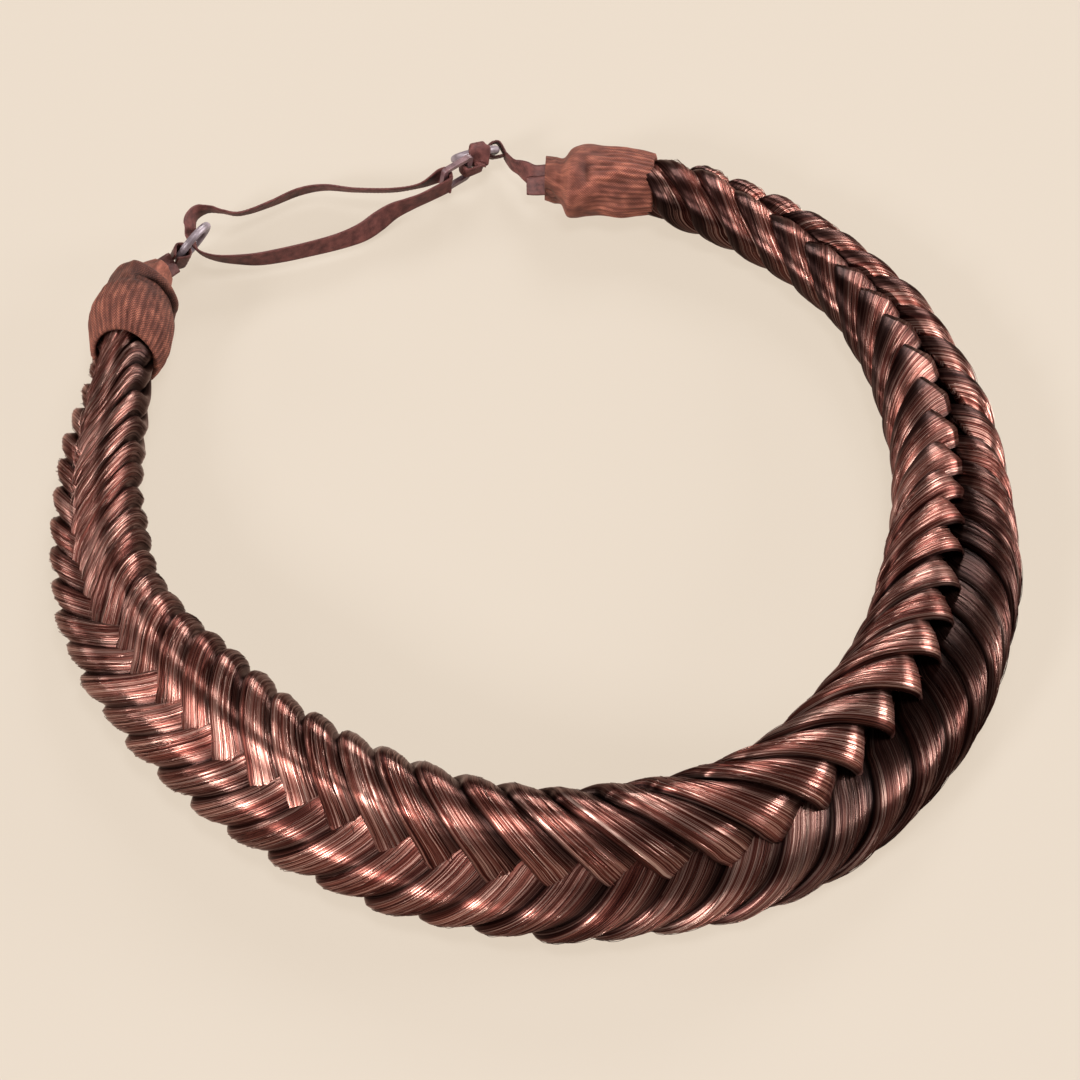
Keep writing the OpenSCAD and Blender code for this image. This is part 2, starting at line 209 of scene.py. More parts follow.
def dress(name, bodies, material, node):
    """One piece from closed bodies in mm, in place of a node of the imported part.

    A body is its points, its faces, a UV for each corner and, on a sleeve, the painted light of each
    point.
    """
    points = []
    faces = []
    corners = []
    painted_shades = []
    for body in bodies:
        body_points, body_faces, body_corners = outward(*body[:3])
        painted_shades += body[3] if len(body) > 3 else [1.0] * len(body_points)
        first = len(points)
        points += [tuple((Vector(p) + CENTRE) * MM) for p in body_points]
        faces += [tuple(first + k for k in face) for face in body_faces]
        corners += body_corners
    mesh = bpy.data.meshes.new(name)
    mesh.from_pydata(points, [], faces)
    uv = mesh.uv_layers.new(name="UVMap")
    uv.data.foreach_set("uv", np.array(corners, dtype=np.float32).ravel())
    # Painted light and shade of each point, which the knit's colour is multiplied by
    keep(mesh, "sleeve_painted_light", painted_shades)
    mesh.polygons.foreach_set("use_smooth", [True] * len(faces))
    mesh.materials.append(material)
    piece = new_piece(name, mesh)
    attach(piece, "root")
    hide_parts(node)


# Geometry Nodes, written as sums
class Amount:
    """A number or a vector that Geometry Nodes work out at every point."""

    def __init__(self, tree, socket):
        self.tree = tree
        self.socket = socket

    def node(self, kind, **settings):
        """A new node of the same tree."""
        made = self.tree.nodes.new(kind)
        for key, value in settings.items():
            setattr(made, key, value)
        return made

    def feed(self, socket, value):
        """Links an amount to a socket, or writes a plain number or vector into it."""
        if isinstance(value, Amount):
            self.tree.links.new(value.socket, socket)
        else:
            socket.default_value = value

    def calculate(self, operation, *others):
        """One of the Math node's operations on this amount and the others."""
        made = self.node("ShaderNodeMath", operation=operation)
        for socket, value in zip(made.inputs, (self,) + others):
            self.feed(socket, value)
        return Amount(self.tree, made.outputs[0])

    def __add__(self, other):
        return self.calculate("ADD", other)

    __radd__ = __add__

    def __sub__(self, other):
        return self.calculate("SUBTRACT", other)

    def __rsub__(self, other):
        return (self * -1.0) + other

    def __mul__(self, other):
        return self.calculate("MULTIPLY", other)

    __rmul__ = __mul__

    def __truediv__(self, other):
        return self.calculate("DIVIDE", other)

    def __pow__(self, other):
        return self.calculate("POWER", other)

    def sin(self):
        return self.calculate("SINE")

    def cos(self):
        return self.calculate("COSINE")

    def arccos(self):
        return self.least(1.0).most(-1.0).calculate("ARCCOSINE")

    def root(self):
        return self.calculate("SQRT")

    def size(self):
        return self.calculate("ABSOLUTE")

    def sign(self):
        return self.calculate("SIGN")

    def least(self, other):
        return self.calculate("MINIMUM", other)

    def most(self, other):
        return self.calculate("MAXIMUM", other)

    def over(self, other):
        return self.calculate("GREATER_THAN", other)

    def ramp(self, low, high, start=0.0, end=1.0, smooth=True):
        """Goes from start to end while this amount goes from low to high."""
        kind = "SMOOTHSTEP" if smooth else "LINEAR"
        made = self.node("ShaderNodeMapRange", interpolation_type=kind)
        for name, value in (("Value", self), ("From Min", low), ("From Max", high),
                            ("To Min", start), ("To Max", end)):
            self.feed(made.inputs[name], value)
        return Amount(self.tree, made.outputs["Result"])

    def curve(self, points):
        """Reads a small table of (place, height) pairs as a smooth curve; both run from 0 to 1."""
        made = self.node("ShaderNodeFloatCurve")
        line = made.mapping.curves[0]
        for i, (x, y) in enumerate(points):
            if i < 2:
                line.points[i].location = (x, y)
            else:
                line.points.new(x, y)
        made.mapping.update()
        self.feed(made.inputs["Value"], self)
        return Amount(self.tree, made.outputs[0])

    def scaled(self, factor):
        """This vector times a number."""
        made = self.node("ShaderNodeVectorMath", operation="SCALE")
        self.feed(made.inputs[0], self)
        self.feed(made.inputs["Scale"], factor)
        return Amount(self.tree, made.outputs[0])

    def plus(self, other):
        """This vector and another one added."""
        made = self.node("ShaderNodeVectorMath", operation="ADD")
        self.feed(made.inputs[0], self)
        self.feed(made.inputs[1], other)
        return Amount(self.tree, made.outputs[0])

    def parts(self):
        """The three numbers of this vector."""
        made = self.node("ShaderNodeSeparateXYZ")
        self.feed(made.inputs[0], self)
        return [Amount(self.tree, made.outputs[i]) for i in range(3)]


def between(first, second, share):
    """What lies between two amounts, at a share of the way. One of the two may be a plain number."""
    return (second - first) * share + first


def together(x, y, z):
    """Three numbers as one vector."""
    lead = next(a for a in (x, y, z) if isinstance(a, Amount))
    made = lead.node("ShaderNodeCombineXYZ")
    for socket, value in zip(made.inputs, (x, y, z)):
        lead.feed(socket, value)
    return Amount(lead.tree, made.outputs[0])


def noise(place, detail):
    """Smooth noise around 0, between about -0.5 and 0.5."""
    made = place.node("ShaderNodeTexNoise")
    made.inputs["Scale"].default_value = 1.0
    made.inputs["Detail"].default_value = detail
    place.feed(made.inputs["Vector"], place)
    return Amount(place.tree, made.outputs[0]) - 0.5


# Kinds of socket for the sizes that a tree asks for
SOCKETS = {
    float: "NodeSocketFloat",
    bpy.types.Object: "NodeSocketObject",
    bpy.types.Material: "NodeSocketMaterial",
}


def new_tree(name, sizes):
    """A tree with a geometry input and output and one named input for each size."""
    tree = bpy.data.node_groups.new(name, "GeometryNodeTree")
    tree.interface.new_socket("Geometry", in_out="OUTPUT", socket_type="NodeSocketGeometry")
    tree.interface.new_socket("Geometry", in_out="INPUT", socket_type="NodeSocketGeometry")
    for label, value in sizes.items():
        tree.interface.new_socket(label, in_out="INPUT", socket_type=SOCKETS[type(value)])
    start = tree.nodes.new("NodeGroupInput")
    end = tree.nodes.new("NodeGroupOutput")
    return tree, start, end


def passed(tree, kind, shape, socket="Geometry"):
    """A new node of the tree that takes the shape in at a socket."""
    made = tree.nodes.new(kind)
    tree.links.new(shape, made.inputs[socket])
    return made


def attribute(tree, name, kind="FLOAT"):
    """An attribute of the points, by its name."""
    made = tree.nodes.new("GeometryNodeInputNamedAttribute")
    made.data_type = kind
    made.inputs["Name"].default_value = name
    return Amount(tree, made.outputs["Attribute"])


def store(tree, geometry, name, value, kind="FLOAT", domain="POINT"):
    """The geometry with one more attribute."""
    made = passed(tree, "GeometryNodeStoreNamedAttribute", geometry)
    made.data_type = kind
    made.domain = domain
    made.inputs["Name"].default_value = name
    tree.links.new(value.socket, made.inputs["Value"])
    return made.outputs["Geometry"]


def run_tree(name, source, tree, sizes):
    """Runs a tree on a source mesh and keeps the result as a plain mesh."""
    source.materials.append(sizes["Hair"])
    holder = new_piece(name + "_source", source)
    step = holder.modifiers.new(name, "NODES")
    step.node_group = tree
    for item in tree.interface.items_tree:
        if item.item_type == "SOCKET" and item.in_out == "INPUT" and item.name in sizes:
            step[item.identifier] = sizes[item.name]
    ready = holder.evaluated_get(bpy.context.evaluated_depsgraph_get())
    mesh = bpy.data.meshes.new_from_object(ready)
    bpy.data.objects.remove(holder)
    mesh.name = name
    return new_piece(name, mesh)


# Sleeves. Columns: place along the sleeve from its neck at 0 to its mouth at 1, half width,
# half thickness, and how far its middle lies outwards of the braid's, in mm
LEFT_SLEEVE = [
    (0, 3.5, 3.3, 1.4), (0.12, 5.3, 5.0, 1.7), (0.2, 6.0, 5.7, 0.6), (0.26, 7.9, 7.4, -0.5),
    (0.35, 8.7, 8.1, -1.6), (0.5, 9.6, 9.0, -2.1), (0.65, 10.1, 9.5, -2.0), (0.8, 10.3, 9.7, -1.2),
    (1, 8.3, 7.8, -1.0),
]
RIGHT_SLEEVE = [
    (0, 5.2, 4.9, 0.0), (0.09, 5.6, 5.2, -0.9), (0.17, 5.7, 5.3, -1.4), (0.23, 8.0, 7.5, -1.7),
    (0.3, 8.7, 8.1, -1.3), (0.4, 8.7, 8.1, -0.5), (0.55, 8.2, 7.7, 0.3), (0.75, 8.2, 7.7, 0.5),
    (1, 7.1, 6.6, 1.7),
]
LEFT_NECK, LEFT_MOUTH = 141.2, 155.9
RIGHT_NECK, RIGHT_MOUTH = 447.5, 432.6
# How far each mouth reaches past its middle, in mm, and the turn in degrees to the side opposite
# to where it does
LEFT_SLANT, LEFT_LEAN = 1.8, 165
RIGHT_SLANT, RIGHT_LEAN = 1.4, 38
SLEEVE_WALL = 1.2
# Length of the knit round a sleeve, in mm
ROUND_MM = 56.5

# Lengthwise ribs of the knit: how many, their height in mm, where along the sleeve they start, and
# over how much of it they grow to full height
RIBS = 38
RIB_HEIGHT = 0.15
RIBS_FROM = 0.48
RIBS_GROW = 0.14

# Waves of the loose cloth. Columns: height in mm, waves round the sleeve, how far they turn along
# it, waves along it and where those start, and how far they fade towards the mouth
CLOTH_WAVES = [(0.22, 3, 5, 9, 1, 1), (0.10, 11, -7, 17, 2, 0)]

# Points round a sleeve for each rib, and steps along its outer and its inner face
POINTS_PER_RIB = 6
OUTER_STEPS = 84
INNER_STEPS = 14

# Creases (below 0) and raised folds (above 0) in the cloth. Columns: turn round the sleeve in
# degrees and place along it at both ends, half the fold's width in mm, height in mm
LEFT_FOLDS = [
    (130, 0.43, 236, 0.40, 1.2, -2.6), (116, 0.30, 232, 0.29, 1.3, 0.9),
    (60, 0.42, 124, 0.27, 1.5, 0.6), (112, 0.52, 176, 0.36, 1.1, -0.55),
    (60, 0.54, 112, 0.52, 1.2, -0.3), (85, 0.02, 100, 0.20, 1.1, -0.6),
    (125, 0.03, 132, 0.17, 0.9, -0.55), (160, 0.00, 170, 0.15, 1.2, 0.6),
    (70, 0.20, 120, 0.20, 1.0, -0.5),
]
RIGHT_FOLDS = [
    (112, 0.38, 146, 0.41, 0.9, -0.9), (119, 0.42, 119, 0.62, 0.55, -0.35),
    (130, 0.42, 130, 0.62, 0.55, -0.35), (151, 0.42, 118, 0.86, 1.3, 0.7),
    (152, 0.56, 140, 0.86, 0.9, -0.6), (170, 0.25, 158, 0.50, 1.2, 0.5),
    (120, 0.22, 140, 0.34, 1.2, 0.5), (86, 0.30, 96, 0.60, 1.3, -0.4),
    (186, 0.45, 172, 0.95, 1.0, -0.35), (200, 0.60, 190, 1.00, 1.0, 0.35),
    (176, 0.02, 226, 0.10, 1.5, -1.6), (100, 0.10, 150, 0.12, 0.8, 0.4),
]
# A fold's height at its two ends as a share of its middle's, and how many of its half widths it
# reaches to each side
FOLD_END = 0.55
FOLD_REACH = 3
# Length of one degree round a sleeve whose half width is 1 mm
MM_PER_DEGREE = 0.0175

# Painted light and shade on the cloth along each sleeve, how much painted light each mm of a raised
# fold adds and each mm of a crease takes away, and the darkest and lightest that this painted fold
# shade may be
LEFT_PAINTED_LIGHT = [(0, 1.3), (0.17, 1.15), (0.24, 0.55), (0.5, 0.55), (0.7, 0.85), (1, 0.9)]
RIGHT_PAINTED_LIGHT = [(0, 1.0), (0.5, 1.1), (1, 1.1)]
FOLD_PAINTED_LIGHT = 0.6
FOLD_DARKEST, FOLD_LIGHTEST = 0.08, 1.6


def fold_height(folds, turn, t, around, along):
    """Height that the folds add at one place; around and along turn degrees and shares into mm."""
    height = 0.0
    px, py = turn * around, t * along
    for turn_a, t_a, turn_b, t_b, half, rise in folds:
        ax, ay = turn_a * around, t_a * along
        bx, by = turn_b * around, t_b * along
        run = (bx - ax) ** 2 + (by - ay) ** 2
        share = ((px - ax) * (bx - ax) + (py - ay) * (by - ay)) / run
        share = min(1.0, max(0.0, share))
        gap = math.hypot(px - ax - share * (bx - ax), py - ay - share * (by - ay)) / half
        if gap < FOLD_REACH:
            fade = FOLD_END + (1 - FOLD_END) * math.sin(math.pi * share)
            height += rise * fade * math.exp(-gap * gap)
    return height


def sleeve(table, neck, mouth, slant, lean, folds, painted_light_table):
    """Knitted tube: lengthwise ribs near its mouth, folds, a turned-in mouth and painted light per
    point.
    """
    sides = POINTS_PER_RIB * RIBS
    length = abs(math.radians(mouth - neck)) * at(PATH, (neck + mouth) / 2, RADIUS)
    painted_shades = []

    def ring(t, depth, dressed):
        """Points round the sleeve at one place along it, this deep below its outer face."""
        half_width, half_thick, shift = [at(table, t, col) for col in (1, 2, 3)]
        painted_level = at(painted_light_table, t, 1)
        angle = neck + (mouth - neck) * t
        near_mouth = min(1.0, max(0.0, (t - RIBS_FROM) / RIBS_GROW))
        ribbed = near_mouth * near_mouth * (3 - 2 * near_mouth)
        points = []
        for j in range(sides):
            turn = 2 * math.pi * j / sides
            reach = -slant * math.cos(turn - math.radians(lean)) * t**3
            here = angle + degrees_for(angle, math.copysign(1, mouth - neck) * reach)
            fold = 0.0
            lift = -depth
            if dressed:
                lift += RIB_HEIGHT * math.cos(RIBS * turn) * ribbed
                for height, waves_round, twist, waves_along, first, fade in CLOTH_WAVES:
                    wave = math.sin(waves_round * turn + twist * t) * math.sin(waves_along * t + first)
                    lift += height * wave * (1 - t * fade)
                fold = fold_height(folds, math.degrees(turn), t, half_width * MM_PER_DEGREE, length)
                lift += fold
            # Painted shade in the creases and painted light on the raised folds, times the painted
            # light along the sleeve
            painted_shades.append(painted_level * min(FOLD_LIGHTEST, max(FOLD_DARKEST, 1.0 + FOLD_PAINTED_LIGHT * fold)))
            wide = (half_width + lift) * math.cos(turn) + shift
            thick = (half_thick + lift) * math.sin(turn)
            points.append(on_section(here, wide, thick))
        return points

    outer = [i / OUTER_STEPS for i in range(OUTER_STEPS + 1)]
    inner = [1 - i / INNER_STEPS for i in range(1, INNER_STEPS + 1)]
    rings = [ring(t, 0.0, True) for t in outer]
    # The mouth turns in through a ring that stands a little further out
    rings += [ring(1.012, SLEEVE_WALL * 0.35, False), ring(1.0, SLEEVE_WALL, False)]
    rings += [ring(t, SLEEVE_WALL, False) for t in inner]
    # The knit's pattern runs on round the mouth and along the inner face
    steps = outer + [1.02, 1.04] + [2.04 - t for t in inner] + [2.08]
    uvs = [[(j / sides * ROUND_MM, t * length) for j in range(sides + 1)] for t in steps]
    return *grid_skin(np.array([[tuple(p) for p in r] for r in rings]), uvs, True), painted_shades


# Ribbons, tabs and the elastic: pitch of the threads that cross a band, depth of its weave, half the
# width that its UV takes up and how far the lower face lies from the upper one there, all in mm
WEFT_PITCH = 0.9
WEAVE_DEPTH = 0.05
UV_HALF = 3.0
UV_LOWER = 9
# How flat a band stays before its rounded edges, as powers
EDGE_POWER = 10
WEAVE_POWER = 8


def ribbon(route, across, widths, thickness, steps, ribs, closed=False):
    """Woven band along a route, with the direction across it and its width at each point."""
    line = smooth_list(route, steps, closed)
    wide = smooth_list(across, steps, closed)
    width = smooth_list([(w,) for w in widths], steps, closed)[:, 0]
    before = np.roll(line, 1, axis=0)
    after = np.roll(line, -1, axis=0)
    if not closed:
        before[0] = line[0]
        after[-1] = line[-1]
    along = after - before
    along /= np.linalg.norm(along, axis=1)[:, None]
    wide -= (wide * along).sum(axis=1)[:, None] * along
    wide /= np.linalg.norm(wide, axis=1)[:, None]
    face = np.cross(wide, along)
    run = np.concatenate([[0], np.cumsum(np.linalg.norm(np.diff(line, axis=0), axis=1))])
    half = 4 * ribs
    top = [(-1 + 2 * i / half) for i in range(half + 1)]
    edge = [(s, (1 - abs(s) ** EDGE_POWER) ** 0.5) for s in top]
    outline = edge + [(s, -h) for s, h in edge[-2:0:-1]]
    rings = []
    for i in range(len(line)):
        ring = []
        for s, h in outline:
            knot = math.cos(math.pi * ribs * s) * math.cos(2 * math.pi * run[i] / WEFT_PITCH)
            high = h * (thickness / 2 + WEAVE_DEPTH * (knot - 1) * (1 - s**WEAVE_POWER))
            ring.append(line[i] + wide[i] * s * width[i] / 2 + face[i] * high)
        rings.append(ring)
    rows = list(run) + [run[-1] + 0.5]
    places = [s for s, _ in outline] + [-1]
    us = [s * UV_HALF + (0 if k <= half else UV_LOWER) for k, s in enumerate(places)]
    uvs = [[(u, v) for u in us] for v in rows]
    points, faces, corners = grid_skin(np.array(rings), uvs, closed)
    if not closed:
        close_ends(faces, corners, len(line), half)
    return points, faces, corners


def close_ends(faces, corners, ring_count, half):
    """Adds faces over both cut ends of a band, from its upper to its lower edge."""
    n = 2 * half
    for first, flip in ((0, False), ((ring_count - 1) * n, True)):
        for i in range(half):
            quad = [first + i, first + i + 1, first + (n - i - 1) % n, first + (n - i) % n]
            quad = list(dict.fromkeys(quad))
            faces.append(tuple(quad[::-1] if flip else quad))
            corners += [(0.0, 0.0)] * len(quad)


def turn_points(middle, pull, side, radius):
    """A ribbon's turn round a bar or wire: from the side it pulls to, round, and back."""
    turns = [math.radians(a) for a in range(-90, 91, 36)]
    return [middle + (side * math.sin(a) - pull * math.cos(a)) * radius for a in turns]


# Rings, slider and the sizes of what goes round them, in mm. A ring has its middle, the direction
# in which strap or tab pulls, its axis and the direction square to both
RING_RADIUS = 4.85
LEFT_RING = Vector((-74.9, 74, 8.4))
LEFT_PULL = unit((0.55, 0.84, 0))
LEFT_AXIS = unit((0.77, -0.5, -0.39))
LEFT_UP = LEFT_AXIS.cross(LEFT_PULL)
RIGHT_RING = Vector((-12, 104.5, 5.2))
RIGHT_PULL = unit((0.96, 0.28, 0))
RIGHT_AXIS = unit((0.22, -0.77, -0.6))
RIGHT_UP = RIGHT_AXIS.cross(RIGHT_PULL)
SLIDER = Vector((-16.3, 96.1, 7.6))
SLIDER_ALONG = unit((0.775, 0.632, 0))
SLIDER_ACROSS = unit((0.121, -0.148, 0.982))
SLIDER_FACE = SLIDER_ALONG.cross(SLIDER_ACROSS)
# From the slider's middle to each of the bars that a band goes round
BAR_PLACE = 3.6
NEAR_BAR = SLIDER - SLIDER_ALONG * BAR_PLACE
FAR_BAR = SLIDER + SLIDER_ALONG * BAR_PLACE
# Radius at which a band goes round a slider bar and round a ring's wire
BAR_TURN = 1.65
HOOK_TURN = 1.85
# Thickness of a layer of ribbon and of the elastic, and how far apart the middles of two layers
# lie, in thicknesses
LAYER = 0.7
ELASTIC = 0.65
APART = 1.1
# Width of the elastic, where it goes through the slider, and of a ribbon gathered in a ring
STRAP_WIDTH = 6.2
STRAP_AT_SLIDER = 5.8
GATHERED = 3.2
# Width of the left tab's eye, and of the eye that hooks into the right ring at the wire's two sides
# and behind it
LEFT_EYE = 6.0
HOOK_SIDES = 5.2
HOOK_BEHIND = 3.4
# The block sewn where the end loop's two eyes meet: how far it reaches to each side of the seam,
# its width and its thickness
SEWN_REACH = 0.8
SEWN_WIDTH = 3.0
SEWN_THICKNESS = 2.1
# From a wire's middle to the seam of what goes round it
LEFT_SEAM = 2.3
RIGHT_SEAM = 2.1
END_SEAM = 3.4

# The elastic's two long runs. Columns: x, y, z in mm, the direction across it as the camera sees
# it in degrees from the right, and the share of its width that the camera sees
UPPER_RUN = [
    (-24.4, 93.2, 6.8, 95, 0.04), (-30.6, 92.3, 6.2, 92, 0.02), (-39.1, 93.1, 5.4, 90, 0.03),
    (-46.2, 94.3, 5.0, 88, 0.10), (-52.1, 92.9, 5.0, 100, 0.14), (-58.3, 89.1, 5.2, 105, 0.07),
    (-62.8, 86.2, 5.8, 100, 0.02), (-65.9, 84.8, 6.4, 90, 0.00), (-69.0, 84.5, 7.4, 80, 0.02),
    (-71.8, 84.0, 8.4, 95, 0.12), (-74.2, 82.4, 9.0, 125, 0.26), (-75.4, 79.7, 9.4, 160, 0.34),
    (-75.5, 77.2, 9.2, 195, 0.36),
]
LOWER_RUN = [
    (-75.5, 75.3, 8.6, 215, 0.22), (-74.4, 73.3, 7.6, 235, 0.02), (-72.6, 72.1, 6.8, 245, -0.05),
    (-69.5, 71.6, 6.0, 258, -0.12), (-65.1, 71.9, 5.2, 266, -0.24), (-60.4, 72.4, 4.8, 275, -0.36),
    (-54.9, 73.8, 4.6, 282, -0.42), (-48.4, 75.8, 4.6, 286, -0.44), (-42.2, 78.1, 4.6, 288, -0.50),
    (-37.3, 80.6, 4.8, 295, -0.60), (-33.6, 83.8, 5.0, 305, -0.62), (-30.2, 86.6, 5.4, 298, -0.50),
    (-26.6, 88.2, 6.0, 290, -0.36), (-23.4, 89.5, 6.6, 290, -0.30),
]


def seen(turn, share):
    """Direction across a ribbon that the camera sees at a turn, with this share of its width."""
    turn = math.radians(turn)
    level = Vector((math.cos(turn), 0, 0)) + SEEN_UP * math.sin(turn)
    return level * share + TO_CAMERA * math.sqrt(1 - share * share)


def strap():
    """One elastic band from the slider's near bar through the left ring and back."""
    route = turn_points(NEAR_BAR, -SLIDER_ALONG, -SLIDER_FACE, BAR_TURN)
    across = [SLIDER_ACROSS] * len(route)
    widths = [STRAP_AT_SLIDER] * len(route)
    for x, y, z, turn, share in UPPER_RUN + LOWER_RUN:
        route.append(Vector((x, y, z)))
        across.append(seen(turn, share))
        widths.append(STRAP_WIDTH)
    return ribbon(route, across, widths, ELASTIC, steps=20, ribs=6, closed=True)


def eye(middle, seam, across, radius, at_seam, at_sides=None, behind=None):
    """Ribbon that leaves a seam, goes round a bar or wire and comes back to the seam.

    Its width is given at the seam and, where it isn't the same all along, at the bar's two sides
    and behind it.
    """
    at_sides = at_sides or at_seam
    behind = behind or at_sides
    pull = (seam - middle).normalized()
    wide = (across - pull * across.dot(pull)).normalized()
    side = wide.cross(pull)
    ends = [seam + side * LAYER * APART / 2 * s for s in (-1, 1)]
    turn = turn_points(middle, pull, side, radius)
    route = [ends[0]] + turn + [ends[1]]
    halfway = (len(turn) - 1) / 2
    turned = [behind + (at_sides - behind) * abs(k / halfway - 1) ** 3 for k in range(len(turn))]
    widths = [at_seam] + turned + [at_seam]
    return ribbon(route, [wide] * len(route), widths, LAYER, steps=8, ribs=4)


def layers(route, across, widths, count):
    """Ribbon layers that lie on each other along a route."""
    line = smooth_list(route, 4, False)
    wide = smooth_list(across, 4, False)
    width = smooth_list([(w,) for w in widths], 4, False)[:, 0]
    made = []
    for k in range(count):
        shift = (k - (count - 1) / 2) * LAYER * APART
        points = []
        for i in range(len(line)):
            along = Vector(line[min(i + 1, len(line) - 1)] - line[max(i - 1, 0)]).normalized()
            points.append(Vector(line[i]) + Vector(wide[i]).cross(along).normalized() * shift)
        made.append(ribbon(points, wide, width, LAYER, steps=4, ribs=5))
    return made


def left_tab():
    """Wide eye round the left ring and two layers of ribbon down into the sleeve's neck."""
    wire = LEFT_RING - LEFT_PULL * RING_RADIUS
    seam = wire - LEFT_PULL * LEFT_SEAM
    route = [seam, on_section(142, 1.4, 0), on_section(146, 0, 0)]
    across = [seen(150, 0.9), seen(150, 0.9), seen(160, 0.8)]
    widths = [5.0, 5.2, 5.2]
    return [eye(wire, seam, LEFT_UP, HOOK_TURN, LEFT_EYE), *layers(route, across, widths, 2)]


def right_tab():
    """Narrow eye round the right ring, a ribbon that widens down to the sleeve, and its cut end."""
    wire = RIGHT_RING + RIGHT_PULL * RING_RADIUS
    seam = wire + (RIGHT_PULL * 0.8 + RIGHT_AXIS * 0.6) * RIGHT_SEAM
    route = [
        seam, Vector((-3.5, 101.1, 5.6)), Vector((-1.7, 99.4, 6.0)),
        Vector((-0.1, 97.6, 6.6)), Vector((2.4, 95.5, 7.2)), on_section(445, 0.6, 0.6),
    ]
    across = [RIGHT_UP, seen(75, 0.55), seen(78, 0.7), seen(80, 0.85), seen(85, 0.92), seen(88, 0.95)]
    main = layers(route, across, [3.2, 3.6, 4.4, 5.2, 5.6, 6.0], 1)
    cut = [Vector((-0.1, 94.6, 5.2)), Vector((2.2, 94.0, 5.8)), on_section(446, -1.6, -0.6)]
    under = ribbon(cut, [seen(90, 0.97)] * len(cut), [4.2, 4.4, 4.6], LAYER, steps=6, ribs=5)
    return [eye(wire, seam, RIGHT_UP, HOOK_TURN, GATHERED), *main, under]


def end_loop():
    """Two eyes, round the slider's far bar and the right ring, sewn together in a small block."""
    hook = RIGHT_RING + RIGHT_UP * RING_RADIUS
    seam = hook + RIGHT_AXIS * END_SEAM
    sewn = [seam + (end - seam).normalized() * SEWN_REACH for end in (FAR_BAR, hook)]
    across = [SLIDER_ACROSS, RIGHT_PULL]
    return [
        eye(FAR_BAR, seam, SLIDER_ACROSS, BAR_TURN, GATHERED),
        eye(hook, seam, RIGHT_PULL, HOOK_TURN, GATHERED, HOOK_SIDES, HOOK_BEHIND),
        ribbon(sewn, across, [SEWN_WIDTH] * 2, SEWN_THICKNESS, steps=6, ribs=4),
    ]


# Angles of the path that the braid's line covers, and the step between its points
PATH_FROM, PATH_TO, PATH_STEP = 137.0, 451.0, 0.5
# Degrees of hidden locks before and after the hair that shows
LOCKS_BEFORE, LOCKS_AFTER = 6.0, 4.0
# Degrees of hair that the sleeves hide at each end
HAIR_HIDDEN = 2


def build_path():
    """The braid's path as a line that the trees read, with the section and habits along it."""
    angles = np.arange(PATH_FROM, PATH_TO, PATH_STEP)
    middles, across, up, wide, thick = zip(*[section(a) for a in angles])
    mesh = bpy.data.meshes.new("braid_path")
    shifts = [out * at(HAIR_SHIFT, a, 1) for a, out in zip(angles, across)]
    points = [tuple((middle + shift + CENTRE) * MM) for middle, shift in zip(middles, shifts)]
    mesh.from_pydata(points, [(i, i + 1) for i in range(len(points) - 1)], [])
    columns = {
        "across": across,
        "up": up,
        "section": [(w * MM, t * MM, at(PATH, a, PITCH) * MM) for a, w, t in zip(angles, wide, thick)],
        "habit": [(at(PATH, a, ADVANCE), at(PATH, a, OVER), at(PATH, a, OPEN)) for a in angles],
        "ends": [(at(PATH, a, PETAL), at(PATH, a, SHIFT), 0.0) for a in angles],
    }
    for label, values in columns.items():
        keep(mesh, label, values)
    steps = np.linalg.norm(np.diff(np.array(points), axis=0), axis=1)
    lengths = np.concatenate([[0], np.cumsum(steps)])
    line = new_piece("braid_path", mesh)
    line.hide_render = True
    return line, angles, lengths


path, path_angles, path_lengths = build_path()


def length_at(angle):
    """Length along the path, in metres, at one of its angles."""
    return float(np.interp(angle, path_angles, path_lengths))


def lock_angles():
    """The angles of the path at which the locks start."""
    starts = [BRAID_FROM - LOCKS_BEFORE]
    while starts[-1] < BRAID_TO + LOCKS_AFTER:
        a = starts[-1]
        starts.append(a + math.degrees(at(PATH, a, PITCH) / at(PATH, a, RADIUS)))
    return starts


# Seeds of the outer row's locks, at 1, and the inner row's, at -1
LOCK_SEEDS = {1: 11, -1: 12}


def lock_luck(row):
    """Three lucky numbers for each lock of a row, from 0 to 1."""
    return np.random.default_rng(LOCK_SEEDS[row]).uniform(0, 1, (len(lock_angles()), 3))


def point_mesh(name, count, columns):
    """Loose points with what they keep."""
    mesh = bpy.data.meshes.new(name)
    mesh.from_pydata([(0, 0, i * MM) for i in range(count)], [], [])
    for label, values in columns.items():
        keep(mesh, label, values)
    return mesh


def lock_points(row):
    """One point for each lock, with its place along the path and its own luck."""
    places = [length_at(a) for a in lock_angles()]
    return point_mesh("lock_points", len(places), {"place": places, "luck": lock_luck(row)})


# Sizes that the locks' tree asks for by name. Overlap is a share of the pitch between locks, and
# the tuft numbers are the depth of the grooves between tufts and how many lie across a lock
LOCK_SIZES = {
    "Path": path,
    "Row": 1.0,
    "Step height": 2.3 * MM,
    "Lock thickness": 3.0 * MM,
    "Overlap": 0.5,
    "Tuft depth": 0.34 * MM,
    "Tufts": 11.0,
    "Middle dip": 2.6 * MM,
    "Blunt end drop": 4.5 * MM,
    "Flatness": 0.86,
    "Least length": length_at(BRAID_FROM - HAIR_HIDDEN),
    "Most length": length_at(BRAID_TO + HAIR_HIDDEN),
}
# How high a lock stands from its trailing edge, at 0, to the next lock's edge, at 0.66
LOCK_CROWN = [
    (0.0, 0.30), (0.035, 0.66), (0.09, 0.92), (0.2, 1.0), (0.36, 0.93), (0.52, 0.74), (0.66, 0.46),
    (1.0, 0.0),
]

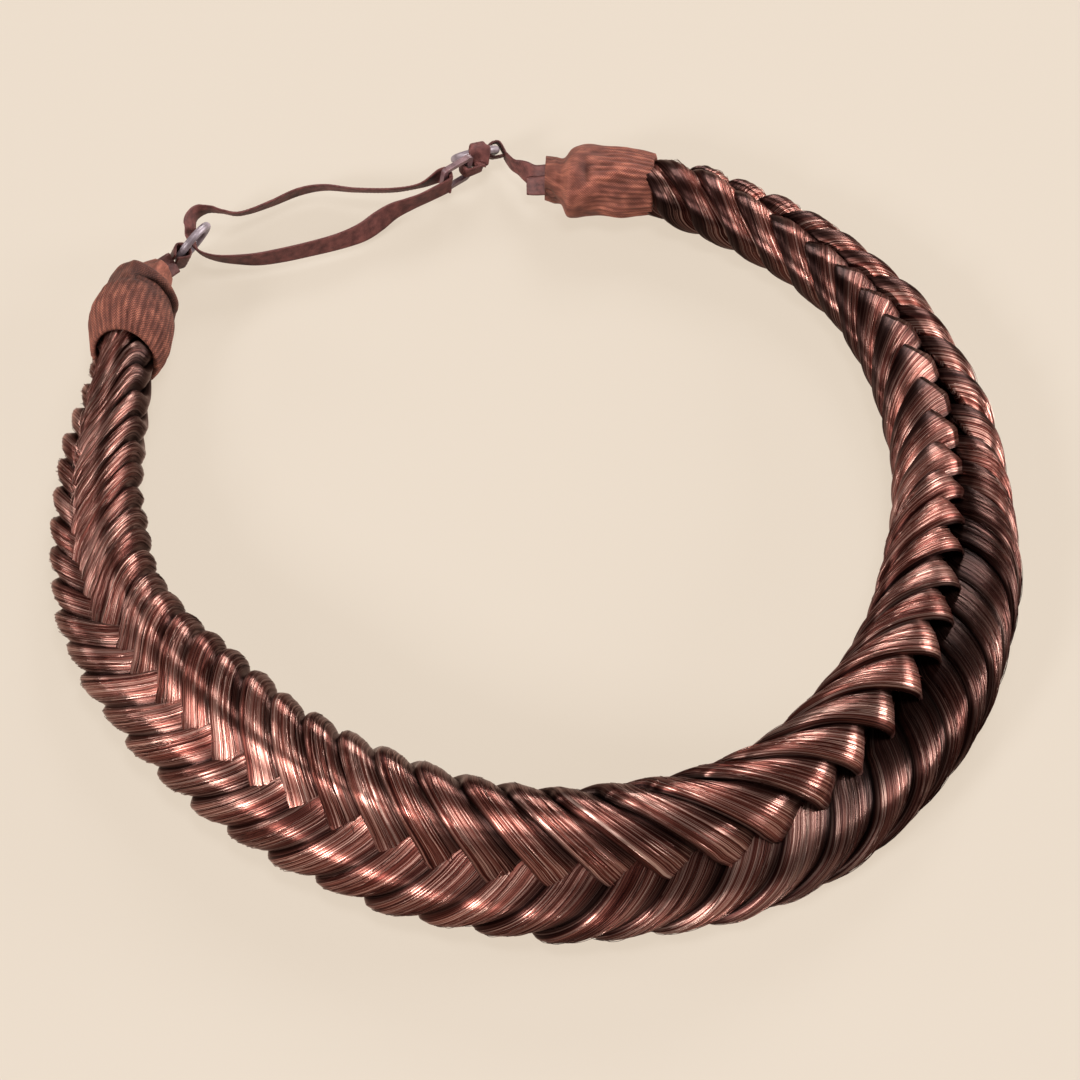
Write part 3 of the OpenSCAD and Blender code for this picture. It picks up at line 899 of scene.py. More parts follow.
# Turns round the braid's section, in radians: where a lock starts, out of sight, where it has come
# up to its full height, and how far before its tip it begins to sink
LOCK_START = -1.9
LOCK_RISEN = -1.25
SINK_TURN = 0.45
# How deep a lock lies at its start, and a tip that passes under the other row, in mm
START_DEPTH = 3.2
TIP_DEPTH = 2.2
# Where locks end, as shares of the half width from the middle and below 0 past it: in the tight
# braid, and on the outer row where the braid is open
TIGHT_END = -0.36
OUTER_END = -0.30
# A blunt end: how far it slants over one lock, in pitches, how far it reaches past the middle and
# over what length it rounds off, in mm, and how close to upright its round end gets
BLUNT_SLANT = 0.5
BLUNT_REACH = 1.2
BLUNT_ROUND = 6.0
BLUNT_LIMIT = 0.999
# A petal: how far its lower side draws back and how far its upper side stops before the middle, in mm
PETAL_BACK = 6.0
PETAL_STOP = 1.0
# How a lock bends forward as it nears the middle, as a power: in the tight braid, and how much
# lower in the open one. Between the two reaches it changes to a straight run
BEND = 0.88
BEND_OPEN = 0.38
STRAIGHT_FROM, STRAIGHT_TO = 0.9, 1.2
# Outer locks lie this share of a pitch further along the braid and inner ones as much further
# back, and each lock's own place wavers within this share of a pitch
ROW_SHIFT = 0.25
WAVER = 0.10
# Steps between locks are this share of the step height, and one step height more for this much
# half width in mm. At the braid's sides they are higher by a share
STEP_LEAST = 0.35
STEP_WIDTH = 23.0
SIDE_STEPS = 0.45
# Heights in mm: how much further locks bulge at the braid's sides for each whole share of steps,
# how much locks differ, and how deep the ends of open outer locks lie
SIDE_BULGE = 0.6
LOCK_DIFFERENCE = 0.6
OUTER_DIP = 4.4
# Sines of the turns between which the valley and the covered ends come in on the braid's face
FACE_FROM, FACE_TO = 0.2, 0.9
# Shares of a lock's run over which painted light grows on its hair as it comes up from below,
# where painted shade begins to darken its end, and by how much
RISING_FROM, RISING_TO = 0.44, 0.74
ENDING_FROM = 0.86
ENDING_SHADE = 0.45


def path_reader(tree, start):
    """A function that reads the path's position, or a value kept on it, at a length along it."""
    info = tree.nodes.new("GeometryNodeObjectInfo")
    tree.links.new(start.outputs["Path"], info.inputs["Object"])
    line = passed(tree, "GeometryNodeMeshToCurve", info.outputs["Geometry"], "Mesh")

    def read(name, length):
        """Position or value, as a vector."""
        probe = passed(tree, "GeometryNodeSampleCurve", line.outputs["Curve"], "Curves")
        probe.data_type = "FLOAT_VECTOR"
        probe.mode = "LENGTH"
        tree.links.new(length.socket, probe.inputs["Length"])
        if name == "position":
            return Amount(tree, probe.outputs["Position"])
        tree.links.new(attribute(tree, name, "FLOAT_VECTOR").socket, probe.inputs["Value"])
        return Amount(tree, probe.outputs["Value"])

    return read


class Lock:
    """The lock that a point of a tree lies on, and the point's place on it.

    u runs along the lock and v across it, both from 0 to 1. x is the place across in lock pitches:
    0 at one edge, 1 at the next lock's edge. turn is the place round the braid's section: side and
    face are its cosine and sine. inner and outer are 1 on their own row and 0 on the other.
    """

    def __init__(self, tree, start, u, v):
        self.u = u
        self.v = v
        self.sizes = {name: Amount(tree, start.outputs[name]) for name in LOCK_SIZES if name != "Path"}
        self.read = path_reader(tree, start)
        self.row = self.sizes["Row"]
        self.inner = self.row.ramp(-1.0, 1.0, 1.0, 0.0, smooth=False)
        self.outer = 1.0 - self.inner
        self.place = attribute(tree, "place")
        self.luck, self.luck_b, self.luck_c = attribute(tree, "luck", "FLOAT_VECTOR").parts()
        self.half, _, self.pitch = self.read("section", self.place).parts()
        self.advance, self.newer, self.opened = self.read("habit", self.place).parts()
        self.petal, self.shift, _ = self.read("ends", self.place).parts()
        self.middle = self.shift * self.row
        overlap = self.sizes["Overlap"]
        self.x = (self.newer - 1.0) * overlap + v * (overlap + 1.0)
        self.tip = self.end_turn()
        self.turn = between(LOCK_START, self.tip, u)
        self.side = self.turn.cos()
        self.face = self.turn.sin()
        self.length = self.path_length()
        self.wide, self.thick, _ = self.read("section", self.length).parts()
        self.from_middle = (self.side - self.middle) * self.wide
        self.on_face = self.face.ramp(FACE_FROM, FACE_TO)

    def end_turn(self):
        """Turn at which the lock ends.

        It ends past the middle where the braid is tight, and in a blunt end where it is open. Outer
        ends pass under the inner ones, or are petals whose lower side draws back.
        """
        x = self.x.most(0.0).least(1.0)
        blunt = (x * self.pitch * BLUNT_SLANT - BLUNT_REACH * MM) / self.half
        petal_end = ((1.0 - x) * (1.0 - x) * PETAL_BACK * MM + PETAL_STOP * MM) / self.half
        outer_end = between(OUTER_END, petal_end, self.petal)
        open_end = between(outer_end, blunt, self.inner)
        side = between(TIGHT_END, open_end, self.opened) * (1.0 - self.shift * 0.6)
        return (side + self.middle).arccos()

    def path_length(self):
        """Length along the path: a lock runs forward from the braid's side to its middle."""
        limit = 1.0 - self.middle
        reach = (1.0 - self.side) / limit
        curved = reach.most(0.0) ** (BEND - self.opened * BEND_OPEN)
        bend = between(curved, reach, reach.ramp(STRAIGHT_FROM, STRAIGHT_TO)) * limit
        narrow = (self.shift * 3.0).least(1.0) * 0.45
        shorter = self.outer * (narrow + self.opened * (self.petal * 0.5 - 0.3))
        longer = self.inner * self.opened * (1.0 - self.petal) * 0.35
        run = self.half * self.advance * (1.0 - shorter + longer)
        forward = run * self.turn.sign() * bend
        own = self.row * ROW_SHIFT + self.x + (self.luck - 0.5) * WAVER
        length = self.place + own * self.pitch + forward
        return length.most(self.sizes["Least length"]).least(self.sizes["Most length"])

    def crown(self):
        """Share of the lock's full height at its place across, from whichever lock lies on top."""
        scale = self.sizes["Overlap"] + 1.0
        newer = (self.x / scale).curve(LOCK_CROWN)
        older = ((1.0 - self.x) / scale).curve(LOCK_CROWN)
        return between(older, newer, self.newer)

    def dips(self):
        """How deep the lock lies in the valley between the rows, at its ends and where it's hidden."""
        valley = self.from_middle.size().ramp(-2.0 * MM, 8.0 * MM, 1.0, 0.0) * self.on_face
        valley = valley * (1.0 - self.opened) * (1.0 - self.shift * 0.8)
        to_end = (self.tip - self.turn) * self.wide / (BLUNT_ROUND * MM)
        bent = (1.0 - to_end).most(0.0).least(BLUNT_LIMIT)
        blunt_here = self.opened * self.inner * (1.0 - self.petal * 0.9)
        curl = (1.0 - (1.0 - bent * bent).root()) * blunt_here
        hidden = self.from_middle.ramp(-2.0 * MM, 10.0 * MM, 1.0, 0.0) * self.outer
        hidden = hidden * self.opened * self.on_face
        sink = self.turn.ramp(self.tip - SINK_TURN, self.tip, 0.0, 1.0)
        sink = sink * (1.0 - self.opened * self.inner.most(self.petal))
        start = self.turn.ramp(LOCK_START, LOCK_RISEN, 1.0, 0.0)
        return (
            valley * self.sizes["Middle dip"]
            + curl * self.sizes["Blunt end drop"]
            + hidden * OUTER_DIP * MM
            + sink * TIP_DEPTH * MM
            + start * START_DEPTH * MM
        )

    def tufts(self, under):
        """Height of the tufts and grooves that run along the lock's upper face."""
        # Each lock reads the noise at a place of its own
        across = self.v * self.sizes["Tufts"] + self.luck_b * 37.0
        spot = together(across, self.u * 1.6, self.luck_c * 19.0 + self.row * 7.0)
        on_top = under.ramp(0.0, 0.5 * MM, 1.0, 0.0)
        return self.sizes["Tuft depth"] * noise(spot, 1.5) * 2.0 * on_top

    def height(self, under):
        """Height above the braid's smooth section; under is how far below the lock's upper face."""
        bulge = self.side * self.side * SIDE_STEPS + 1.0
        scale = self.wide / (STEP_WIDTH * MM) + STEP_LEAST
        stronger = self.shift * 1.4 + 1.0 + self.petal * self.outer * 0.7
        step = (self.crown() - 1.0) * self.sizes["Step height"] * scale * bulge * stronger
        own = (self.luck_c - 0.5) * LOCK_DIFFERENCE * MM + (bulge - 1.0) * SIDE_BULGE * MM
        return step + own + self.tufts(under) - self.dips() - under

    def position(self, under):
        """Place of the point in the scene, in metres."""
        height = self.height(under)
        normal_x = self.side * self.thick
        normal_y = self.face * self.wide
        norm = (normal_x * normal_x + normal_y * normal_y).root()
        flatness = self.sizes["Flatness"]
        flat_side = self.side.sign() * self.side.size() ** flatness
        flat_face = self.face.sign() * self.face.size() ** flatness
        across = (flat_side * self.wide + normal_x / norm * height) * self.row
        up = flat_face * self.thick + normal_y / norm * height
        spot = self.read("position", self.length)
        spot = spot.plus(self.read("across", self.length).scaled(across))
        return spot.plus(self.read("up", self.length).scaled(up))

    def painted_light(self):
        """Painted shade and painted light on the hair, with each lock's own random tone."""
        # Painted shade where the open braid's outer locks pass under the inner tips
        covered = self.outer * self.opened
        hidden = self.from_middle.ramp(1.0 * MM, 9.0 * MM, 1.0, 0.0) * covered * self.on_face
        # Painted shade where the hair comes up from below, and towards a lock's end
        rising = self.u.ramp(RISING_FROM, RISING_TO, 0.0, 1.0)
        sinking = 1.0 - self.opened * (1.0 - self.petal * self.inner)
        ending = self.u.ramp(ENDING_FROM, 1.0, 0.0, ENDING_SHADE) * sinking
        painted_light = between(self.opened * 0.34 + 0.15, 1.0, rising) * (1.0 - ending)
        painted_light = painted_light * (1.0 - hidden * (0.75 - self.petal * 0.5))
        painted_light = painted_light * (1.0 - covered * (1.0 - self.petal) * 0.55)
        # Each lock's random tone, and painted light on the open braid's outer petals
        painted_light = painted_light * (self.luck_b * 0.5 + 0.8) * (self.petal * self.outer * 0.6 + 1.0)
        # Painted light on the hair near the right sleeve
        return painted_light * (self.shift * self.opened * 2.0 + 1.0)


def on_each_point(tree, start, shape):
    """A copy of the shape on each point of the tree's source, as plain geometry."""
    spread = passed(tree, "GeometryNodeInstanceOnPoints", start.outputs["Geometry"], "Points")
    tree.links.new(shape, spread.inputs["Instance"])
    real = passed(tree, "GeometryNodeRealizeInstances", spread.outputs["Instances"])
    return real.outputs["Geometry"]


def laid_on(tree, shape, lock, under, label, kind, domain):
    """The shape laid on its lock, with its u and v under a label, the lock's luck and painted light."""
    moved = passed(tree, "GeometryNodeSetPosition", shape)
    tree.links.new(lock.position(under).socket, moved.inputs["Position"])
    uv = together(lock.u, lock.v, 0.0)
    shape = store(tree, moved.outputs["Geometry"], label, uv, kind, domain)
    shape = store(tree, shape, "lock_luck", lock.luck)
    return store(tree, shape, "lock_painted_light", lock.painted_light())


def finish_as_hair(tree, start, end, shape):
    """Ends a tree with the shape in the hair's material."""
    finish = passed(tree, "GeometryNodeSetMaterial", shape)
    tree.links.new(start.outputs["Hair"], finish.inputs["Material"])
    tree.links.new(finish.outputs["Geometry"], end.inputs["Geometry"])


# Points round a lock's tube and steps along it, the share of the way round that is its upper
# face, and the width of the seam beside that
LOCK_ROUND = 40
LOCK_ALONG = 40
UPPER_FACE = 0.85
FACE_SEAM = 0.002


def locks_tree(hair):
    """Tree that turns each point of its source into a lock: a closed tube laid on the braid."""
    tree, start, end = new_tree("locks", {**LOCK_SIZES, "Hair": hair})
    tube = tree.nodes.new("GeometryNodeMeshCylinder")
    tube.inputs["Vertices"].default_value = LOCK_ROUND
    tube.inputs["Side Segments"].default_value = LOCK_ALONG
    tube.inputs["Radius"].default_value = 1.0
    tube.inputs["Depth"].default_value = 1.0
    spot = tree.nodes.new("GeometryNodeInputPosition")
    x, y, z = Amount(tree, spot.outputs[0]).parts()
    round_share = (y * -1.0).calculate("ARCTAN2", x * -1.0) / (2 * math.pi) + 0.5
    one = store(tree, tube.outputs["Mesh"], "along", z + 0.5)
    one = store(tree, one, "round", round_share)
    tubes = on_each_point(tree, start, one)
    u = attribute(tree, "along")
    w = attribute(tree, "round")
    below = w.over(UPPER_FACE - FACE_SEAM)
    back = 1.0 - (w - UPPER_FACE) / (1.0 - UPPER_FACE)
    v = ((w / UPPER_FACE) * (1.0 - below) + back * below).least(1.0).most(0.0)
    # A lock is thinner towards its two ends
    thin = u.ramp(0.0, 0.12, 0.35, 1.0) * u.ramp(0.9, 1.0, 1.0, 0.35)
    under = below * thin * Amount(tree, start.outputs["Lock thickness"])
    shape = laid_on(tree, tubes, Lock(tree, start, u, v), under, "UVMap", "FLOAT2", "CORNER")
    smooth = passed(tree, "GeometryNodeSetShadeSmooth", shape)
    flip = passed(tree, "GeometryNodeFlipFaces", smooth.outputs["Geometry"], "Mesh")
    outer_row = Amount(tree, start.outputs["Row"]).over(0.0)
    tree.links.new(outer_row.socket, flip.inputs["Selection"])
    finish_as_hair(tree, start, end, flip.outputs["Mesh"])
    return tree


STRAND_SIZES = {
    "Strand radius": 0.065 * MM,
    "Strand lift": 0.3 * MM,
}
# Loose strands on each row, points along one, and the number that is added to a row for its seed
STRAND_COUNT = 900
STRAND_POINTS = 15
STRAND_SEED = 30
# Where strands start, as shares along and across a lock, the least share that they run along it,
# the last place that they reach, and how far they drift across
STRAND_FROM = (0.42, 0.7)
STRAND_ACROSS = (0.03, 0.6)
STRAND_LEAST = 0.2
STRAND_LAST = 0.99
STRAND_DRIFT = 0.22


def strand_points(row):
    """Points for loose strands: each takes a lock, a place across it and a stretch along it."""
    rng = np.random.default_rng(STRAND_SEED + row)
    starts = lock_angles()
    pick = rng.integers(0, len(starts), STRAND_COUNT)
    first = rng.uniform(*STRAND_FROM, STRAND_COUNT)
    place_across = rng.uniform(*STRAND_ACROSS, STRAND_COUNT)
    run = rng.uniform(STRAND_LEAST, STRAND_LAST - first)
    stretch = np.stack([place_across, first, run], axis=1)
    fly = rng.uniform(0, 1, (STRAND_COUNT, 3))
    places = [length_at(starts[i]) for i in pick]
    return point_mesh("strand_points", STRAND_COUNT, {
        "place": places, "luck": lock_luck(row)[pick], "stretch": stretch, "fly": fly,
    })


def strands_tree(hair):
    """Tree that turns each point of its source into one fine strand that lies on a lock."""
    tree, start, end = new_tree("strands", {**LOCK_SIZES, **STRAND_SIZES, "Hair": hair})
    line = tree.nodes.new("GeometryNodeMeshLine")
    line.inputs["Count"].default_value = STRAND_POINTS
    line.inputs["Offset"].default_value = (0, 0, 1 / (STRAND_POINTS - 1))
    spot = tree.nodes.new("GeometryNodeInputPosition")
    one = store(tree, line.outputs["Mesh"], "along", Amount(tree, spot.outputs[0]).parts()[2])
    lines = on_each_point(tree, start, one)
    share = attribute(tree, "along")
    v_first, u_first, u_run = attribute(tree, "stretch", "FLOAT_VECTOR").parts()
    fly_a, fly_b, fly_c = attribute(tree, "fly", "FLOAT_VECTOR").parts()
    u = u_first + u_run * share
    v = v_first + (fly_a - 0.5) * STRAND_DRIFT * share
    lift = Amount(tree, start.outputs["Strand lift"])
    radius = Amount(tree, start.outputs["Strand radius"])
    # A strand bows up along its run, and some of them lift off towards their end
    bow = (share * math.pi).sin() * fly_b * fly_b * lift
    flick = (share * 2.0 - 1.0).most(0.0) * fly_c ** 6.0 * lift * 3.0
    under = (bow + flick + radius) * -1.0
    shape = laid_on(tree, lines, Lock(tree, start, u, v), under, "strand_uv", "FLOAT_VECTOR", "POINT")
    curve = passed(tree, "GeometryNodeMeshToCurve", shape, "Mesh")
    # The tube round a strand has three sides; around them the UV moves a hair's breadth aside
    ring = tree.nodes.new("GeometryNodeCurvePrimitiveCircle")
    ring.inputs["Resolution"].default_value = 3
    tree.links.new(radius.socket, ring.inputs["Radius"])
    share_round = Amount(tree, tree.nodes.new("GeometryNodeSplineParameter").outputs["Factor"])
    ring_shape = store(tree, ring.outputs["Curve"], "around", share_round)
    tube = passed(tree, "GeometryNodeCurveToMesh", curve.outputs["Curve"], "Curve")
    tube.inputs["Fill Caps"].default_value = True
    tree.links.new(ring_shape, tube.inputs["Profile Curve"])
    aside = together(0.0, attribute(tree, "around") * 0.01, 0.0)
    uv = attribute(tree, "strand_uv", "FLOAT_VECTOR").plus(aside)
    shape = store(tree, tube.outputs["Mesh"], "UVMap", uv, "FLOAT2", "CORNER")
    smooth = passed(tree, "GeometryNodeSetShadeSmooth", shape)
    finish_as_hair(tree, start, end, smooth.outputs["Geometry"])
    return tree


# Materials
class Finish:
    """A material and the steps of its look."""

    def __init__(self, name):
        self.material = bpy.data.materials.new(name)
        self.material.use_nodes = True
        self.nodes = self.material.node_tree.nodes
        self.shader = self.nodes["Principled BSDF"]

    def feed(self, socket, value):
        """Links a step to a socket, or writes a plain number or colour into it."""
        if isinstance(value, bpy.types.NodeSocket):
            self.material.node_tree.links.new(value, socket)
        else:
            socket.default_value = value

    def step(self, kind, values):
        """A new node with these values, by the names or numbers of its inputs."""
        made = self.nodes.new(kind)
        for name, value in values.items():
            self.feed(made.inputs[name], value)
        return made

    def calculate(self, operation, *values):
        """One of the Math node's operations."""
        made = self.step("ShaderNodeMath", dict(enumerate(values)))
        made.operation = operation
        return made.outputs[0]

    def wave(self, value, pitch):
        """A sine with this pitch."""
        return self.calculate("SINE", self.calculate("MULTIPLY", value, 2 * math.pi / pitch))

    def place(self):
        """The UV map as a vector, and its two numbers."""
        uv = self.nodes.new("ShaderNodeUVMap")
        uv.uv_map = "UVMap"
        split = self.step("ShaderNodeSeparateXYZ", {0: uv.outputs["UV"]})
        return uv.outputs["UV"], split.outputs["X"], split.outputs["Y"]

    def kept(self, name, output):
        """An attribute that the mesh carries."""
        made = self.nodes.new("ShaderNodeAttribute")
        made.attribute_name = name
        return made.outputs[output]

    def noise(self, where, scale, detail):
        """Smooth noise between 0 and 1."""
        made = self.step("ShaderNodeTexNoise", {"Vector": where, "Scale": scale, "Detail": detail})
        return made.outputs[0]

    def spread(self, value, low, high, start, end):
        """Goes from start to end while the value goes from low to high."""
        made = self.step("ShaderNodeMapRange", {
            "Value": value, "From Min": low, "From Max": high, "To Min": start, "To Max": end,
        })
        return made.outputs[0]

    def colours(self, value, stops):
        """Colour that goes through these stops with the value."""
        made = self.step("ShaderNodeValToRGB", {"Fac": value})
        line = made.color_ramp
        while len(line.elements) < len(stops):
            line.elements.new(0.5)
        for element, (place, colour) in zip(line.elements, stops):
            element.position = place
            element.color = (*colour, 1)
        return made.outputs["Color"]

    def darkened(self, colour, painted_light):
        """One colour times another."""
        made = self.nodes.new("ShaderNodeMix")
        made.data_type = "RGBA"
        made.blend_type = "MULTIPLY"
        for name, value in (("Factor", 1.0), ("A", colour), ("B", painted_light)):
            self.feed(made.inputs[name], value)
        return made.outputs["Result"]

    def relief(self, height, strength, depth_mm):
        """Fine relief that follows a height."""
        depth = depth_mm * MM
        made = self.step("ShaderNodeBump", {"Height": height, "Strength": strength, "Distance": depth})
        return made.outputs[0]

    def done(self, looks):
        """Sets or links the shader's inputs and returns the material."""
        for name, value in looks.items():
            self.feed(self.shader.inputs[name], value)
        return self.material


# The hair's tones from the gaps between hairs to their shine
HAIR_TONES = [
    (0.36, (0.012, 0.002, 0.0015)), (0.44, (0.058, 0.011, 0.0075)), (0.52, (0.136, 0.043, 0.031)),
    (0.64, (0.405, 0.25, 0.203)),
]
# Painted shade from one edge of a lock to the other: near its edges the hair lies deeper, under its
# neighbours, and is painted darker
HAIR_EDGE_SHADE = [
    (0.0, (0.12, 0.10, 0.10)), (0.10, (1.0, 1.0, 1.0)), (0.45, (1.0, 1.0, 1.0)),
    (0.72, (0.10, 0.08, 0.08)),
]


def hair_material():
    """Glossy synthetic hair: fine streaks along each lock, with a shine that runs across them."""
    finish = Finish("hair")
    _, along, across = finish.place()
    # Each lock has streaks of its own
    lock = finish.calculate("MULTIPLY", finish.kept("lock_luck", "Fac"), 91.7)

    def streaks(count, runs, detail, shift):
        """Streaks along a lock: how many lie across it, and how often they change along it."""
        spread = finish.calculate("MULTIPLY_ADD", across, count, shift)
        run = finish.calculate("MULTIPLY", along, runs)
        where = finish.step("ShaderNodeCombineXYZ", {0: spread, 1: run, 2: lock})
        return finish.noise(where.outputs[0], 1.0, detail)

    fine = streaks(130.0, 0.8, 1.0, 3.1)
    broad = streaks(64.0, 0.8, 1.0, 11.7)
    tuft = streaks(4.0, 0.7, 0.5, 5.3)
    halves = [finish.calculate("MULTIPLY", part, 0.5) for part in (fine, broad)]
    hairs = finish.calculate("ADD", *halves)
    colour = finish.colours(hairs, HAIR_TONES)
    # Painted shade towards each lock's edges
    colour = finish.darkened(colour, finish.colours(across, HAIR_EDGE_SHADE))
    # Painted light and shade that each lock carries
    colour = finish.darkened(colour, finish.kept("lock_painted_light", "Color"))
    height = finish.calculate("ADD", hairs, finish.calculate("MULTIPLY", tuft, 1.5))
    tangent = finish.nodes.new("ShaderNodeTangent")
    tangent.direction_type = "UV_MAP"
    tangent.uv_map = "UVMap"
    return finish.done({
        "Base Color": colour,
        "Roughness": finish.spread(hairs, 0.38, 0.60, 0.42, 0.32),
        "Metallic": 0.8,
        "Anisotropic": 0.9,
        "Anisotropic Rotation": 0.25,
        "Specular IOR Level": 0.25,
        "Specular Tint": (1.0, 0.80, 0.76, 1),
        "IOR": 1.5,
        "Tangent": tangent.outputs[0],
        "Normal": finish.relief(height, 0.2, 0.3),
    })


# Pitches of the knit's fine mesh, across and along the sleeve, in mm, and where its ribs start
MESH_ACROSS, MESH_ALONG = 0.62, 0.58
RIB_START, RIB_FULL = 10.0, 14.0
# The knit's tones from its gaps to its shine
KNIT_TONES = [
    (0.40, (0.052, 0.015, 0.010)), (0.62, (0.165, 0.052, 0.033)), (0.90, (0.36, 0.135, 0.085)),
]


def knit_material():
    """Stretch knit: ribs of small loops, a fine cross mesh and crumpled shine."""
    finish = Finish("knit")
    uv, around, along = finish.place()

    def patches(scales, detail):
        """Soft patches of uneven cloth; the two scales are per mm round and along the sleeve."""
        stretch = finish.step("ShaderNodeMapping", {"Vector": uv, "Scale": (*scales, 1.0)})
        return finish.noise(stretch.outputs[0], 1.0, detail)

    loops = finish.wave(around, MESH_ACROSS), finish.wave(along, MESH_ALONG)
    mesh = finish.calculate("MULTIPLY", *loops)
    near_mouth = finish.spread(along, RIB_START, RIB_FULL, 0.0, 1.0)
    # A quarter of a rib on, so that the shading's ribs lie on the modelled ones
    quarter = finish.calculate("ADD", around, ROUND_MM / RIBS / 4)
    ribs = finish.calculate("MULTIPLY", finish.wave(quarter, ROUND_MM / RIBS), near_mouth)
    level = finish.calculate("MULTIPLY", patches((0.5, 0.3), 3.0), 0.65)
    for part, share in ((mesh, 0.20), (ribs, 0.07), (patches((2.2, 0.5), 2.0), 0.3)):
        level = finish.calculate("ADD", level, finish.calculate("MULTIPLY", part, share))
    colour = finish.colours(level, KNIT_TONES)
    return finish.done({
        # The knit's colour times its painted light and shade along the sleeve and in its folds
        "Base Color": finish.darkened(colour, finish.kept("sleeve_painted_light", "Color")),
        "Roughness": 0.65,
        "Specular IOR Level": 0.12,
        "Sheen Weight": 0.03,
        "Sheen Tint": (1.0, 0.6, 0.45, 1),
        "Normal": finish.relief(level, 0.9, 0.3),
    })


# Pitches of a woven band's threads, across and along it, in mm
THREADS_ACROSS, THREADS_ALONG = 0.25, 0.3


def woven_material(name, dark, light, roughness):
    """Woven ribbon or elastic, with a weave at thread scale and a little wear."""
    finish = Finish(name)
    uv, across, along = finish.place()
    threads = finish.wave(across, THREADS_ACROSS), finish.wave(along, THREADS_ALONG)
    weave = finish.calculate("MULTIPLY", finish.calculate("MULTIPLY", *threads), 0.15)
    level = finish.calculate("ADD", weave, finish.noise(uv, 0.5, 4.0))
    return finish.done({
        "Base Color": finish.colours(level, [(0.3, dark), (0.75, light)]),
        "Roughness": roughness,
        "Specular IOR Level": 0.15,
        "Normal": finish.relief(level, 0.6, 0.1),
    })


def hard_material(name, dark, light, metallic, roughness):
    """Metal or enamel with cloudy wear."""
    finish = Finish(name)
    where = finish.nodes.new("ShaderNodeTexCoord")
    cloudy = finish.noise(where.outputs["Object"], 350.0, 5.0)
    return finish.done({
        "Base Color": finish.colours(cloudy, [(0.35, dark), (0.65, light)]),
        "Roughness": finish.spread(cloudy, 0.0, 1.0, roughness - 0.08, roughness + 0.12),
        "Metallic": metallic,
        "Normal": finish.relief(cloudy, 0.15, 0.1),
    })


def build_braid():
    """Two rows of locks in place of the braid's solid, with loose strands on each row."""
    hair = hair_material()
    locks = locks_tree(hair)
    loose = strands_tree(hair)
    for side_name, row in (("outer", 1), ("inner", -1)):
        sizes = {**LOCK_SIZES, **STRAND_SIZES, "Row": float(row), "Hair": hair}
        pieces = [run_tree(f"braid_{side_name}_row", lock_points(row), locks, sizes)]
        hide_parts("braid")
        pieces.append(run_tree(f"braid_{side_name}_strands", strand_points(row), loose, sizes))
        for piece in pieces:
            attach(piece, "root")
    bpy.data.objects.remove(path)


def build_sleeves():
    """The two knitted sleeves."""
    knit = knit_material()
    left = sleeve(
        LEFT_SLEEVE, LEFT_NECK, LEFT_MOUTH, LEFT_SLANT, LEFT_LEAN, LEFT_FOLDS, LEFT_PAINTED_LIGHT)
    right = sleeve(
        RIGHT_SLEEVE, RIGHT_NECK, RIGHT_MOUTH, RIGHT_SLANT, RIGHT_LEAN, RIGHT_FOLDS, RIGHT_PAINTED_LIGHT)
    dress("left_sleeve_knit", [left], knit, "sleeve_left")
    dress("right_sleeve_knit", [right], knit, "sleeve_right")


def build_bands():
    """The elastic and the ribbon tabs."""
    elastic = woven_material("elastic", (0.035, 0.010, 0.009), (0.12, 0.038, 0.032), 0.6)
    cloth = woven_material("ribbon", (0.028, 0.009, 0.008), (0.11, 0.036, 0.030), 0.5)
    dress("strap_band", [strap()], elastic, "strap")
    dress("end_loop_band", end_loop(), elastic, "end_loop")
    dress("left_tab_ribbon", left_tab(), cloth, "tab_left")
    dress("right_tab_ribbon", right_tab(), cloth, "tab_right")


def finish_fittings():
    """Better materials for the solids of the rings and the slider."""
    metal = hard_material("ring_metal", (0.09, 0.065, 0.072), (0.20, 0.155, 0.17), 0.2, 0.42)
    coat = hard_material("slider_coat", (0.05, 0.02, 0.022), (0.12, 0.055, 0.058), 0.0, 0.4)
    for node, material in (("ring_left", metal), ("ring_right", metal), ("slider", coat)):
        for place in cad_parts[node].material_slots:
            place.material = material


# Half the floor's width, in metres
FLOOR_HALF = 1.6
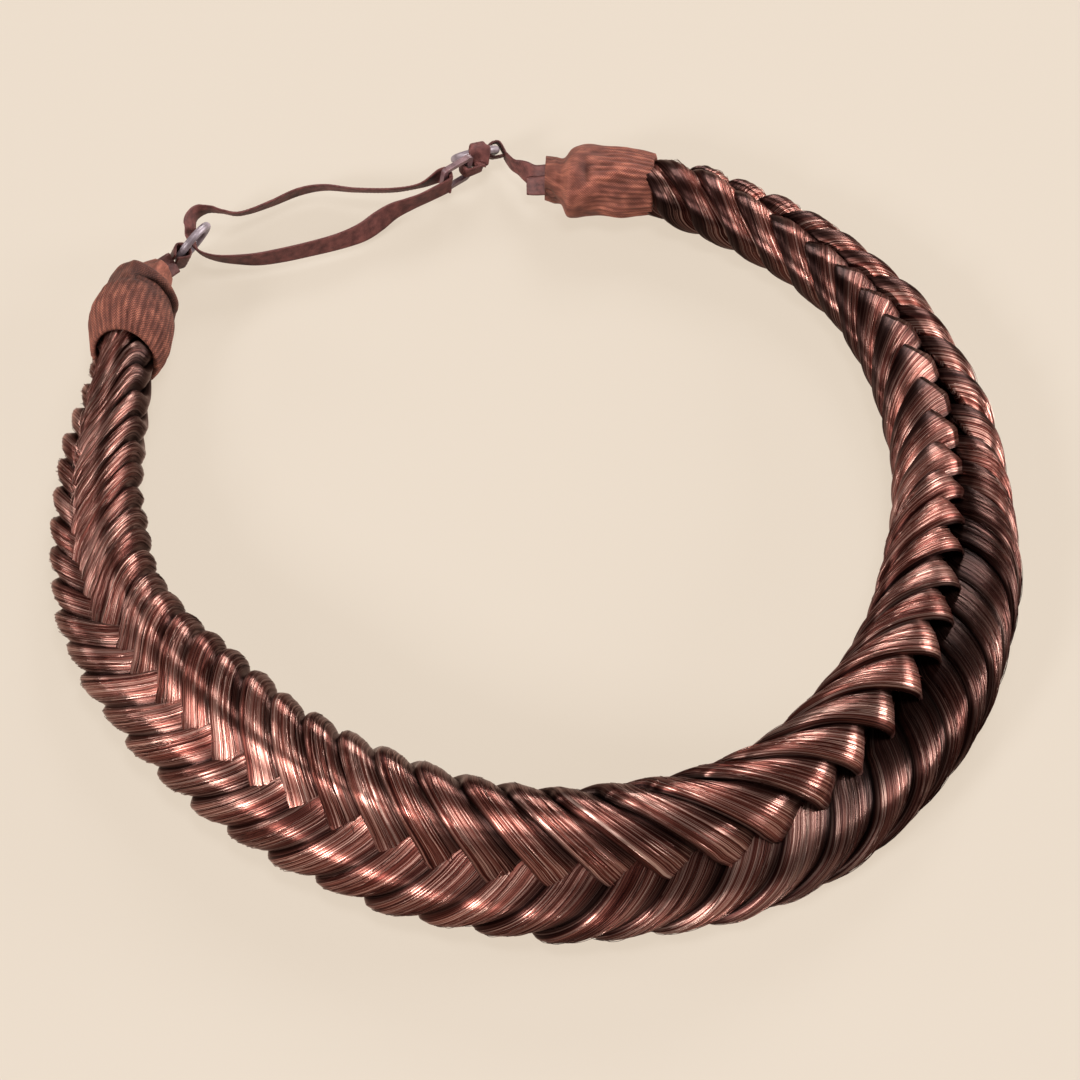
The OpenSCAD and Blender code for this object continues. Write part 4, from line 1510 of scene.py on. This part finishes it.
# Lamps. Columns: name, place in mm, width in mm, power in watts
LAMPS = [
    ("key_softbox", (-1500, -1500, 1130), 500, 104),
    ("left_softbox", (-2200, 500, 900), 600, 26),
    ("right_softbox", (2250, 400, 640), 800, 95),
    ("front_softbox", (-200, -1900, 1380), 700, 10),
    ("top_softbox", (300, -320, 2350), 700, 42),
    ("back_softbox", (500, 1950, 1300), 800, 62),
]
WORLD_COLOUR = (1, 0.97, 0.93, 1)
WORLD_STRENGTH = 0.03


def build_floor():
    """Pale surface that gives off a little light of its own, as in the photo."""
    r = FLOOR_HALF
    mesh = bpy.data.meshes.new("floor")
    mesh.from_pydata([(-r, -r, 0), (r, -r, 0), (r, r, 0), (-r, r, 0)], [], [(0, 1, 2, 3)])
    floor = new_piece("floor", mesh)
    mesh.materials.append(Finish("floor_paint").done({
        "Base Color": (0.06, 0.056, 0.052, 1),
        "Emission Color": (0.83, 0.70, 0.56, 1),
        "Emission Strength": 0.80,
        "Roughness": 0.9,
        "Specular IOR Level": 0.1,
    }))


def aimed(name, data, place_mm, target_mm):
    """A lamp or camera at a place, turned to what it looks at."""
    made = new_piece(name, data)
    made.location = place_mm * MM
    made.rotation_mode = "QUATERNION"
    made.rotation_quaternion = (target_mm - place_mm).to_track_quat("-Z", "Y")
    return made


def build_lights():
    """Soft square lamps that look at the part's origin, and a little light from all round."""
    for name, place, width, power in LAMPS:
        light = bpy.data.lights.new(name, "AREA")
        light.shape = "SQUARE"
        light.size = width * MM
        light.energy = power
        aimed(name, light, Vector(place), Vector((0, 0, 0)))
    world = bpy.data.worlds.new("studio")
    world.use_nodes = True
    background = world.node_tree.nodes["Background"]
    background.inputs[0].default_value = WORLD_COLOUR
    background.inputs[1].default_value = WORLD_STRENGTH
    bpy.context.scene.world = world
    bpy.context.scene.view_settings.view_transform = "Standard"


def build_camera():
    """The photo's camera."""
    camera = bpy.data.cameras.new("camera")
    camera.lens = LENS
    camera.sensor_width = SENSOR
    bpy.context.scene.camera = aimed("camera", camera, CAMERA_AT, LOOKS_AT)


build_braid()
build_sleeves()
build_bands()
finish_fittings()
build_floor()
build_lights()
build_camera()
